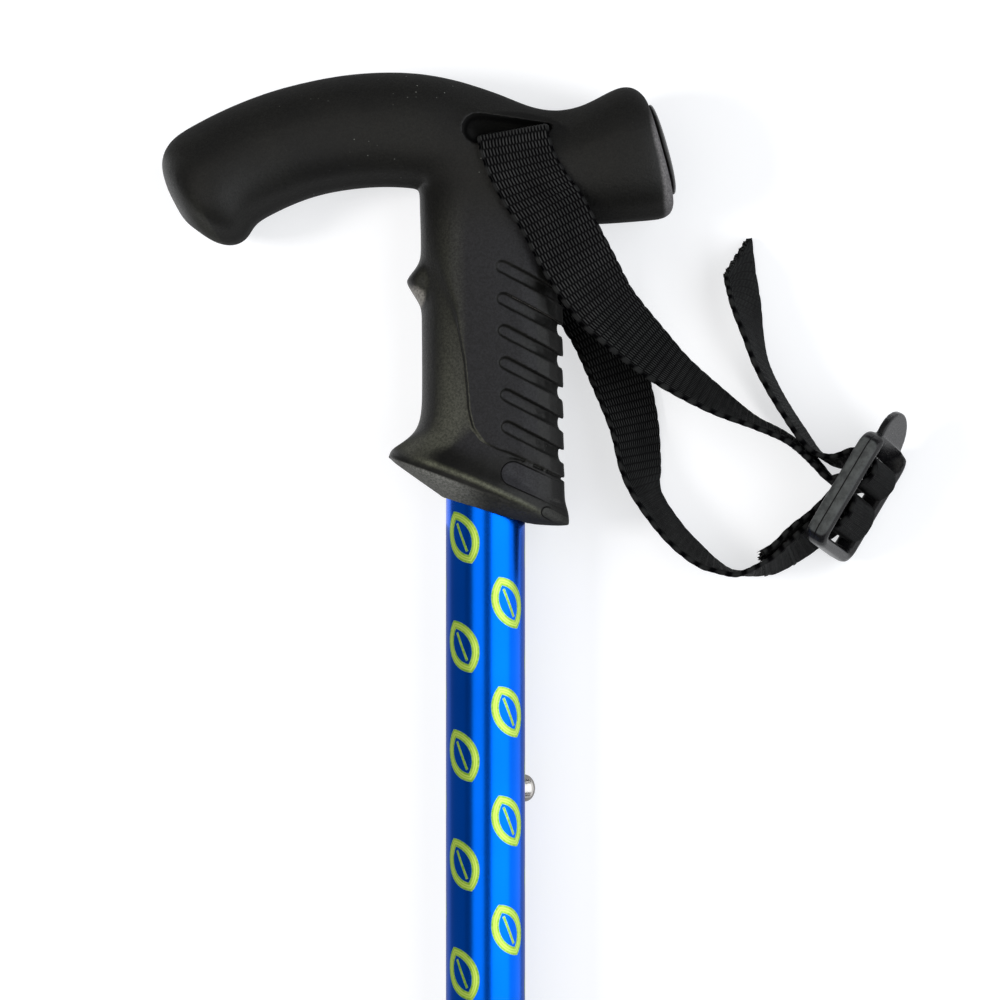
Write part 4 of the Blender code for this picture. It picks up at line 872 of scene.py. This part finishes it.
def make_button():
    """The domed steel button with its flange and rivet."""
    flange = math.sqrt(LOWER_BORE**2 - FLANGE_RADIUS**2) - SEAT_GAP
    back = flange - FLANGE_THICKNESS
    head = back - SEAT_GAP - LEAF_THICKNESS - SEAT_GAP
    tip = TUBE_RADIUS + BUTTON_PROUD
    profile = []
    for i in range(15):
        angle = math.pi / 2 * i / 14
        fall = BUTTON_DOME * (1 - math.cos(angle))
        profile.append((BUTTON_RADIUS * math.sin(angle), tip - fall))
    profile += [
        (BUTTON_RADIUS, flange),
        (FLANGE_RADIUS, flange),
        (FLANGE_RADIUS, back),
        (RIVET_RADIUS, back),
        (RIVET_RADIUS, head),
        (RIVET_HEAD[0], head),
        (RIVET_HEAD[0], head - RIVET_HEAD[1]),
        (0.0, head - RIVET_HEAD[1]),
    ]
    button = spin("button_turned", profile, STEEL, closed=False)
    aim = Matrix.Rotation(-HOLE_ROW_TURN, 4, "Y") @ Matrix.Rotation(-math.pi / 2, 4, "Z")
    button.data.transform(Matrix.Translation((0.0, BUTTON_Y, 0.0)) @ aim)
    dress(button, "snap_button", "button", "button_steel")


SPRING_START = -0.0062
SPRING_END = 0.0052


def make_spring():
    """The hairpin leaf spring, its edges bevelled."""
    spring = node_copy("snap_spring", "spring_leaf", SPRING)
    edge = spring.modifiers.new("edge", "BEVEL")
    edge.width = 0.00008
    edge.segments = 2
    edge.limit_method = "ANGLE"
    edge.angle_limit = math.radians(50)
    settle(spring, 40)
    middle = Vector((0.0, BUTTON_Y, 0.0))
    outward = Vector((math.cos(HOLE_ROW_TURN), 0.0, math.sin(HOLE_ROW_TURN)))
    ends = (middle + outward * SPRING_START, middle + outward * SPRING_END)
    dress(spring, "snap_spring", LOWER, "spring_steel", "button", *ends)


def make_collet():
    """The slit collet on the tube's foot."""
    seat = TUBE_RADIUS + SEAT_GAP
    bore = LOWER_RADIUS + SEAT_GAP
    rim = COLLET_RADIUS + COLLET_RIM
    rim_foot = COLLET_ON_TUBE - COLLET_RIM_HEIGHT
    profile = [
        (rim, COLLET_ON_TUBE),
        (rim, rim_foot),
        (COLLET_RADIUS, rim_foot),
        (COLLET_RADIUS, COLLET_TAPER_START),
        (COLLET_RADIUS - COLLET_TAPER, -COLLET_BELOW_TUBE),
        (bore, -COLLET_BELOW_TUBE),
        (bore, -SEAT_GAP),
        (seat, -SEAT_GAP),
        (seat, COLLET_ON_TUBE),
    ]
    collet = spin("collet_turned", fillet(profile, 0.0005), BUSH, TUBE_FOOT_Y)
    mesh = bpy.data.meshes.new("slits")
    place = Matrix.Translation((0.0, TUBE_FOOT_Y - COLLET_BELOW_TUBE, 0.0))
    with edited(mesh) as made:
        for angle in (math.pi / 4, math.pi * 3 / 4):
            turned = place @ Matrix.Rotation(angle, 4, "Y")
            bmesh.ops.create_cube(made, matrix=turned @ Matrix.Diagonal(COLLET_SLIT))
    cut(collet, new_object("slits", mesh, BUSH))
    dress(collet, "collet_bush", UPPER, "bush_plastic")


COLLAR_TOP = COLLET_ON_TUBE - COLLET_RIM_HEIGHT - SEAT_GAP
COLLAR_FLOOR = -COLLET_BELOW_TUBE - SEAT_GAP
COLLAR_FOOT = COLLAR_FLOOR - COLLAR_END
COLLAR_CHAMFER = COLLAR_FOOT + 0.0033


def fluted(radius, height, angle):
    """The collar's radius at an angle, with the flutes let into its outside."""
    pitch = 2 * math.pi / COLLAR_FLUTES
    off = (angle + pitch / 2) % pitch - pitch / 2
    reach = COLLAR_RADIUS + FLUTE_RADIUS - FLUTE_DEPTH
    half = reach * math.sin(off)
    if radius < COLLAR_RADIUS - SEAT_GAP or abs(half) >= FLUTE_RADIUS:
        return radius
    groove = reach * math.cos(off) - math.sqrt(FLUTE_RADIUS**2 - half**2)
    from_end = min(height - COLLAR_CHAMFER, COLLAR_TOP - height) - 0.0008
    end = min(max(from_end / 0.0014, 0.0), 1.0)
    return min(radius, radius + (groove - radius) * math.sin(end * math.pi / 2))


def make_collar():
    """The fluted lock collar."""
    shoulder = COLLAR_TOP - 0.0006
    profile = [(COLLAR_RADIUS - 0.0006, COLLAR_TOP)]
    steps = 60
    for i in range(steps + 1):
        profile.append((COLLAR_RADIUS, shoulder + (COLLAR_CHAMFER - shoulder) * i / steps))
    profile += [
        (COLLAR_RADIUS - 0.0008, COLLAR_FOOT + 0.0007),
        (COLLAR_RADIUS - 0.0016, COLLAR_FOOT),
        (LOWER_RADIUS + 2 * SEAT_GAP, COLLAR_FOOT),
        (LOWER_RADIUS + 2 * SEAT_GAP, COLLAR_FLOOR),
        (COLLET_RADIUS - COLLET_TAPER + SEAT_GAP, COLLAR_FLOOR),
        (COLLET_RADIUS + SEAT_GAP, COLLET_TAPER_START - SEAT_GAP),
        (COLLET_RADIUS + SEAT_GAP, COLLAR_TOP),
    ]
    collar = spin("collar_fluted", profile, COLLAR_FINISH, TUBE_FOOT_Y, fluted)
    dress(collar, "lock_collar", "collar", "collar_plastic")


def make_ferrule():
    """The rubber foot with its beads, flare and sole grooves."""
    bore = LOWER_RADIUS + SEAT_GAP
    profile = [(0.0, FERRULE_FLOOR), (bore, FERRULE_FLOOR), (bore, FERRULE_HEIGHT)]
    top = FERRULE_HEIGHT
    for _ in range(2):
        for i in range(9):
            bead = 0.0012 * math.sin(math.pi * i / 8)
            profile.append((FERRULE_NECK + bead, top - 0.003 * i / 8))
        top -= 0.006
    waist = top - 0.007
    for i in range(25):
        share = i / 24
        flare = ((1 - math.cos(math.pi * share)) / 2) ** 2.2
        reach = FERRULE_NECK + (FERRULE_FOOT - FERRULE_NECK) * flare
        profile.append((reach, top - waist * share))
    profile += [
        (FERRULE_FOOT, 0.0010),
        (FERRULE_FOOT - 0.0003, 0.0003),
        (FERRULE_FOOT - 0.0010, 0.0),
    ]
    for radius in reversed(SOLE_GROOVES):
        profile += [
            (radius + 0.0009, 0.0),
            (radius + 0.0008, 0.0015),
            (radius - 0.0008, 0.0015),
            (radius - 0.0009, 0.0),
        ]
    profile.append((0.0, 0.0))
    ferrule = spin("ferrule_turned", profile, FOOT, closed=False)
    dress(ferrule, "ferrule", LOWER, "ferrule_rubber")


def make_washer():
    """The steel washer under the lower tube's end."""
    foot = FERRULE_FLOOR + SEAT_GAP
    profile = tube_profile(LOWER_RADIUS - SEAT_GAP, 0.0032, foot, foot + 0.0015)
    washer = spin("washer_turned", profile, ZINC)
    dress(washer, "ferrule_washer", LOWER, "washer_steel")


# Wrist strap


def strap_rows(*rows):
    """Strap rows from tenths of a millimetre, and the width's aim from hundredths."""
    return tuple((*(v / 10000 for v in row[:3]), *(v / 100 for v in row[3:])) for row in rows)


def at_slot(past, out):
    """A strap row at the slot: how far down the handle from the waist, and how far out."""
    across = Vector((math.cos(WAIST_SLOPE), math.sin(WAIST_SLOPE)))
    down = Vector((across.y, -across.x))
    return (*(WAIST.xy + down * past), out, *across, 0.0)


def at_buckle(run, face):
    """A strap row in the buckle, placed along its run and out of its face."""
    return (*(BUCKLE_CENTRE + BUCKLE_RUN * run + BUCKLE_FACE * face), *BUCKLE_ACROSS)


def round_bar(bar, side, slack):
    """The strap round one bar of the buckle, from one side of the bar to the other."""
    reach = BUCKLE_BAR / 2 + STRAP_THICKNESS / 2 + SEAT_GAP + slack
    places = (
        (reach, -0.0030),
        (reach, 0.0004),
        (reach - 0.0010, 0.0029),
        (0.0, 0.0040),
        (0.0010 - reach, 0.0029),
        (-reach, 0.0004),
        (-reach, -0.0030),
    )
    return tuple(at_buckle(bar + side * run, face) for run, face in places)


SEWN_END = strap_rows(
    (779, -139, -71, 10, -22, -97), (817, -120, -71, 15, -26, -95),
    (853, -92, -71, 22, -29, -93), (889, -65, -66, 29, -28, -91),
    (928, -37, -59, 34, -26, -90), (973, 5, -51, 38, -24, -89),
)
FAR_STRAND = strap_rows(
    (940, -56, -51, 36, -25, -90), (905, -83, -59, 31, -27, -91),
    (866, -114, -67, 23, -29, -93), (827, -143, -71, 15, -26, -95),
    (786, -164, -70, 10, -20, -98), (704, -180, -68, 0, 0, -100),
    (651, -163, -67, 5, 11, -99), (598, -132, -68, 16, 21, -97),
    (528, -67, -70, 25, 22, -94), (458, 31, -72, 36, 18, -92),
    (435, 114, -82, 59, 12, -80), (417, 233, -91, 70, 16, -69),
    (380, 361, -105, 81, 25, -53),
)
BEHIND_HANDLE = strap_rows(
    (336, 490, -131, 86, 40, -31), (299, 565, -150, 88, 46, -8),
    (246, 668, -157, 89, 46, 0), (185, 785, -157, 89, 45, 0),
    (135, 885, -158, 92, 38, 0), (102, 955, -158, 96, 27, 0),
)
THROUGH_SLOT = (
    at_slot(0.0037, -STRAP_LAY),
    at_slot(0.0016, -STRAP_LAY),
    at_slot(0.0003, 0.0009 - STRAP_LAY),
    at_slot(0.0, 0.0030 - STRAP_LAY),
    at_slot(0.0, 0.0062 - STRAP_LAY),
    at_slot(0.0, 0.0),
    at_slot(0.0, STRAP_LAY - 0.0062),
    at_slot(0.0, STRAP_LAY - 0.0030),
    at_slot(0.0003, STRAP_LAY - 0.0007),
    at_slot(0.0016, STRAP_LAY + 0.0005),
    at_slot(0.0037, STRAP_LAY + 0.0006),
)
OVER_HANDLE = strap_rows(
    (102, 957, 162, 97, 24, 0), (142, 878, 161, 93, 38, 0),
    (181, 810, 159, 88, 46, 0), (246, 690, 147, 87, 48, -9),
)
NEAR_STRAND = strap_rows(
    (315, 580, 118, 73, 58, -37), (362, 526, 97, 60, 62, -52),
    (459, 434, 56, 46, 55, -68), (537, 370, 26, 33, 47, -81),
    (645, 300, -13, 20, 35, -91), (749, 243, -43, 8, 17, -98),
    (821, 210, -58, 9, 12, -99), (866, 182, -65, 16, 6, -98),
    (906, 147, -69, 24, -2, -97), (947, 101, -69, 31, -15, -94),
    (981, 67, -61, 36, -22, -90),
)
TAIL = strap_rows(
    (1036, 144, -62, 31, -20, -93), (983, 134, -70, 20, -14, -97),
    (931, 154, -69, 17, 0, -98), (887, 206, -68, 17, 11, -98),
    (845, 268, -67, 18, 11, -98), (805, 335, -67, 20, 10, -97),
    (770, 408, -69, 25, 8, -97), (749, 483, -71, 33, 7, -94),
    (729, 572, -76, 46, 9, -88), (714, 650, -77, 49, 10, -87),
    (706, 711, -77, 49, 10, -87),
)
STRAP_ROWS = (
    SEWN_END
    + round_bar(BUCKLE_BAR_PLACES[0], 1, SEWN_LOOP_SLACK)
    + FAR_STRAND
    + BEHIND_HANDLE
    + THROUGH_SLOT
    + OVER_HANDLE
    + NEAR_STRAND
    + round_bar(BUCKLE_BAR_PLACES[1], -1, LACED_LOOP_SLACK)
    + TAIL
)
WEAVE_ROW = 0.00035
WARPS = 40
EDGE_POINTS = 5
TAIL_CUT_SLANT = 0.0095
TAIL_CUT_LENGTH = 0.012
TAIL_SKEW = 0.28
TAIL_SKEW_LENGTH = 0.030
FLOAT_RISE = 0.00013
SELVEDGE_BEAD = 0.00034
TACK_PLACES = ((0.0853, -0.0125), (0.0782, -0.0164))
TACK_HALF_LENGTH = 0.0007
TACK_SINK = 0.00025
TACK_STITCHES = 34
TACK_REACH = 0.0009
TACK_SPREAD = 0.92
TACK_SLANT = 0.35
THREAD_RADIUS = 0.00019
THREAD_RINGS = 5
THREAD_SIDES = 6
THREAD_WARP = 9
SEWN_FRAY = 1.3
SEWN_FRAY_LENGTH = 0.003
TAIL_FRAY = 0.4
JAGS = ((0.0008, 17.0, 2.0), (0.0006, 61.0, 0.0))
SWING_AIM = Vector((0.98, -0.20, 0.0))
SWING_START = 0.024
SWING_END = 0.090


def strap_line():
    """Evenly spaced places along the strap, with the run, width and face direction at each."""
    rows = np.array(STRAP_ROWS)
    rows[:, 1] += HANDLE_Y
    rows[:, :3] = lower_mouths(rows[:, :3])
    fine = []
    last = len(rows) - 1
    for i in range(last):
        a, b, c, d = rows[max(i - 1, 0)], rows[i], rows[i + 1], rows[min(i + 2, last)]
        for t in np.arange(0.0, 1.0, 0.0625):
            bend = (2 * a - 5 * b + 4 * c - d) * t**2 + (3 * b - 3 * c + d - a) * t**3
            fine.append(0.5 * (2 * b + (c - a) * t + bend))
    fine.append(rows[last])
    fine = np.array(fine)
    steps = np.linalg.norm(np.diff(fine[:, :3], axis=0), axis=1)
    length = np.concatenate(([0.0], np.cumsum(steps)))
    places = np.arange(0.0, length[-1], WEAVE_ROW)
    even = np.stack([np.interp(places, length, fine[:, k]) for k in range(6)], axis=1)
    run = unit(np.gradient(even[:, :3], axis=0))
    across = unit(even[:, 3:])
    return places, even[:, :3], run, across, unit(np.cross(run, across))


def weave_height(along, across):
    """How far each place of the webbing's face stands above its ground."""
    rise = np.cos(2 * math.pi * along / FLOAT_PERIOD)
    product = np.cos(math.pi * across / WARP_PITCH) * rise
    share = np.clip((product + 0.6) / 1.4, 0, 1)
    return FLOAT_RISE * share * (0.55 + 0.45 * np.clip(np.abs(rise) / 0.5, 0, 1))


def strap_ring():
    """Places round the strap's section: share of the half-width, side of the face, edge angle."""
    spread = np.linspace(-1.0, 1.0, 2 * WARPS + 1)
    ring = []
    for side in (1, -1):
        ring += [(share * side, side, None) for share in spread]
        for k in range(1, EDGE_POINTS):
            ring.append((side, side, math.pi / 2 - math.pi * k / EDGE_POINTS))
    return ring


def tack_rows(centre):
    """The strap's row nearest to each bar tack, on the far strand."""
    start, end = len(centre) // 12, len(centre) // 2
    rows = []
    for x, y in TACK_PLACES:
        off = centre[start:end, :2] - (x, HANDLE_Y + y)
        rows.append(start + int(np.hypot(off[:, 0], off[:, 1]).argmin()))
    return rows


def band(start, rings, sides):
    """The faces of a closed tube of rings of points, capped at both ends."""
    faces = []
    for here in range(start, start + (rings - 1) * sides, sides):
        for k in range(sides):
            a, b = here + k, here + (k + 1) % sides
            faces.append((a, a + sides, b + sides, b))
    end = start + rings * sides
    caps = (range(start, start + sides), range(end - 1, end - sides - 1, -1))
    return faces + [tuple(cap) for cap in caps]


def thread(top, aim, across, out):
    """The points of one short thread, in rings along its aim."""
    points = []
    for ring in range(THREAD_RINGS):
        t = 2 * ring / (THREAD_RINGS - 1) - 1
        girth = THREAD_RADIUS * math.sqrt(max(1 - t * t, 0.02))
        for k in range(THREAD_SIDES):
            angle = 2 * math.pi * k / THREAD_SIDES
            off = across * math.cos(angle) + out * math.sin(angle)
            points.append(tuple(top + aim * (t * TACK_HALF_LENGTH) + off * girth))
    return points


def add_stitches(points, faces, line, rows):
    """Adds the bar tacks' threads, side by side across the strap on both its faces."""
    for row in rows:
        centre, run, across, face = (values[row] for values in line)
        for side in (1, -1):
            for number in range(TACK_STITCHES):
                share = TACK_SPREAD * (2 * number / (TACK_STITCHES - 1) - 1)
                slant = TACK_SLANT if number % 2 else -TACK_SLANT
                top = centre + across * (share * STRAP_WIDTH / 2)
                top = top + face * (side * (STRAP_THICKNESS / 2 - TACK_SINK * 0.5))
                loops = band(len(points), THREAD_RINGS, THREAD_SIDES)
                faces += [loop[::-side] for loop in loops]
                points += thread(top, run + across * slant, across, face * side)


def make_strap():
    """The webbing: one woven band, its two faces of raised warps joined by round selvedges."""
    places, *line = strap_line()
    centre, run, across, face = line
    reach = STRAP_WIDTH / 2 - STRAP_THICKNESS / 2
    to_tip = places[-1] - places
    cut_share = np.clip(1 - to_tip / TAIL_CUT_LENGTH, 0, 1)
    skew = TAIL_SKEW * np.clip(2 - to_tip / TAIL_SKEW_LENGTH, 0, 1)
    fray = SEWN_FRAY * np.clip(1 - places / SEWN_FRAY_LENGTH, 0, 1) + TAIL_FRAY * cut_share**4
    rows = tack_rows(centre)
    sunk = sum(np.exp(-(((places - places[row]) / TACK_REACH) ** 2)) for row in rows)
    half_thickness = STRAP_THICKNESS / 2 - TACK_SINK * sunk
    points = []
    weave = []
    for share, side, edge in strap_ring():
        if edge is None:
            wide = np.full(len(places), share * reach)
            along = places + skew * wide + (0.0 if side > 0 else FLOAT_PERIOD / 4)
            lift = weave_height(along, wide + STRAP_WIDTH / 2)
            high = side * (half_thickness - FLOAT_RISE * 0.6 + lift)
        else:
            along = places + skew * share * reach
            bead = np.abs(np.cos(math.pi * along / FLOAT_PERIOD)) ** 0.5
            round_out = half_thickness * 0.85 + SELVEDGE_BEAD * bead
            wide = share * (reach + math.cos(edge) * round_out)
            high = side * math.sin(edge) * half_thickness * (0.82 + 0.18 * bead)
        jag = sum(depth * math.sin(share * pitch + start) for depth, pitch, start in JAGS)
        slide = share * TAIL_CUT_SLANT / 2 * cut_share + jag * fray
        moved = across * wide[:, None] + face * high[:, None] + run * slide[:, None]
        points.append(centre + moved)
        weave.append(np.stack([along, wide + STRAP_WIDTH / 2], axis=1))
    faces = band(0, len(places), len(points))
    points = np.stack(points, axis=1).reshape(-1, 3).tolist()
    woven = len(points)
    add_stitches(points, faces, line, rows)
    mesh = bpy.data.meshes.new("webbing")
    mesh.from_pydata(points, [], faces)
    flat = np.full((len(points), 2), (0.0, 2 * WARP_PITCH * THREAD_WARP))
    flat[:woven] = np.stack(weave, axis=1).reshape(-1, 2)
    corner = read(mesh.loops, "vertex_index", 1, np.int32).ravel()
    layer = mesh.uv_layers.new(name="weave")
    layer.data.foreach_set("uv", flat[corner].astype(np.float32).ravel())
    mesh.shade_smooth()
    mesh.update()
    strap = new_object("webbing_strap", mesh, WEBBING)
    ends = [SLOT + HANDLE_FOOT + SWING_AIM * reach for reach in (SWING_START, SWING_END)]
    dress(strap, "wrist_strap", UPPER, "strap_webbing", LOOP, *ends)


TAB_FACE = 0.0013
TAB_BAR_SLOPE = 0.72
TAB_BAR_START = (0.0118, 0.0122)
TAB_BAR_SIDE = (0.0100, 0.0112)
TAB_BAR_BACK = 0.0024
BUCKLE_END = 0.0176


def make_buckle():
    """The moulded ladder buckle, its edges softened and the bar by its tab sloped."""
    place = Matrix.Translation(BUCKLE_CENTRE + HANDLE_FOOT) @ BUCKLE_TURN.to_4x4()
    buckle = node_copy("strap_buckle", "buckle_moulded", ACETAL)
    buckle.data.transform(place.inverted())
    skin(buckle, 0.00022)
    points = points_of(buckle.data)
    run, across, deep = points.T
    slope = TAB_BAR_SLOPE * (BUCKLE_END - run) - TAB_FACE
    near = ease(run, *TAB_BAR_START) * (1 - ease(run, BUCKLE_END, BUCKLE_END + 0.0004))
    near *= 1 - ease(np.abs(across), *TAB_BAR_SIDE)
    points[:, 2] += np.maximum(slope - deep, 0) * near * (deep < TAB_BAR_BACK)
    place_points(buckle.data, points)
    relax(buckle, 10)
    buckle.data.transform(place)
    dress(buckle, "strap_buckle", LOOP, "buckle_acetal")


# Stage, camera and light

CARD_LIFT = 0.00005


def stage_material(name, colour, strength, diffuse):
    """A stage surface that glows for the camera and for reflections, and still takes shadows."""
    material = bpy.data.materials.new(name)
    material.use_nodes = True
    tree = material.node_tree
    tree.nodes.clear()
    ray = add(tree, "ShaderNodeLightPath").outputs
    seen = Term(ray["Is Camera Ray"]).math("MAXIMUM", ray["Is Glossy Ray"])
    seen = seen.math("MAXIMUM", ray["Is Transmission Ray"])
    glow = add(tree, "ShaderNodeEmission", {"Color": colour, "Strength": seen * strength})
    matte = add(tree, "ShaderNodeBsdfDiffuse", {"Color": diffuse})
    both = add(tree, "ShaderNodeAddShader", {0: glow.outputs[0], 1: matte.outputs[0]})
    add(tree, "ShaderNodeOutputMaterial", {"Surface": both.outputs[0]})
    return material


def flat_panel(name, corners, finish):
    """A flat four-cornered stage piece."""
    mesh = bpy.data.meshes.new(name)
    mesh.from_pydata(corners, [], [(0, 1, 2, 3)])
    made = new_object(name, mesh, finish)
    return made


def card(name, near, far, start, end, strength):
    """A card that only shows in reflections, between two (x, z) edges along the shaft."""
    finish = stage_material(name, (1.0, 1.0, 1.0, 1.0), strength, (0.004, 0.004, 0.004, 1.0))
    places = ((near, start), (near, end), (far, end), (far, start))
    made = flat_panel(name, [(edge[0], y, edge[1]) for edge, y in places], finish)
    made.visible_camera = False
    made.visible_diffuse = False
    made.visible_shadow = False
    made.visible_transmission = False


def make_stage():
    """A pale floor, and the grey and white cards that the tube's two sides reflect."""
    paper = (0.46, 0.465, 0.48, 1.0)
    white = stage_material("floor_paper", (0.975, 0.985, 1.0, 1.0), 0.65, paper)
    far = 4.0
    z = FLOOR_Z - 0.0001
    flat_panel("floor", [(-far, -far, z), (far, -far, z), (far, far, z), (-far, far, z)], white)
    start = HANDLE_Y - 0.22
    low = z + CARD_LIFT
    card("grey_card", (-0.045, z), (-0.095, 0.06), start, HANDLE_Y + 0.02, 0.22)
    card("under_card", (-0.045, low), (0.045, low), start, HANDLE_Y - 0.004, 0.40)
    card("white_card", (0.60, z), (0.60, 0.19), start - 0.5, start + 1.5, 1.05)


def area_light(name, size, energy, colour, place):
    """A soft light that the camera doesn't see."""
    data = bpy.data.lights.new(name, "AREA")
    data.shape = "RECTANGLE"
    data.size, data.size_y = size
    data.energy = energy
    data.color = colour
    light = link(name, data)
    light.location = place
    light.visible_camera = False
    return light


def softbox(name, angle, size, radiance, colour):
    """A large light facing the tube, at an angle from straight up towards +X."""
    place = (math.sin(angle), HANDLE_Y, math.cos(angle))
    light = area_light(name, size, radiance * math.pi * size[0] * size[1], colour, place)
    light.rotation_euler = (0.0, angle, 0.0)


def make_lights():
    """Two softboxes with a narrow gap between them over the tube, a key and a grey surround."""
    # The key lays soft shadows from the upper left, and doesn't show in reflections
    y = HANDLE_Y + 0.02
    key = area_light("key", (0.22, 0.22), 5.2, (1.0, 0.98, 0.95), (-0.70, y, 0.62))
    aim = Vector((0.03, y, 0.0)) - key.location
    key.rotation_euler = aim.to_track_quat("-Z", "Y").to_euler()
    key.visible_glossy = False
    softbox("left_box", math.radians(-20.5), (0.60, 1.3), 1.15, (1.0, 0.965, 0.90))
    softbox("right_box", math.radians(45), (1.06, 1.3), 1.9, (0.95, 0.975, 1.0))
    world = bpy.data.worlds.new("surround")
    world.use_nodes = True
    feed(world.node_tree.nodes["Background"].inputs["Color"], (0.13, 0.13, 0.133, 1.0))
    bpy.context.scene.world = world


def make_camera():
    """A camera looking straight down, framed as the photograph is."""
    data = bpy.data.cameras.new("camera")
    data.sensor_width = SENSOR
    data.lens = SENSOR * CAMERA_HEIGHT * PIXELS_PER_METRE / PIXELS
    camera = link("camera", data)
    x = (PIXELS / 2 - SHAFT_PIXEL_X) / PIXELS_PER_METRE
    y = HANDLE_Y + (HANDLE_FOOT_PIXEL_Y - PIXELS / 2) / PIXELS_PER_METRE
    camera.location = (x, y, CAMERA_HEIGHT)
    bpy.context.scene.camera = camera


make_handle()
make_end_cap()
make_upper_tube()
make_lower_tube()
make_guide_bush()
make_button()
make_spring()
make_collet()
make_collar()
make_ferrule()
make_washer()
make_strap()
make_buckle()
make_stage()
make_lights()
make_camera()
bpy.context.scene.view_settings.view_transform = "Standard"
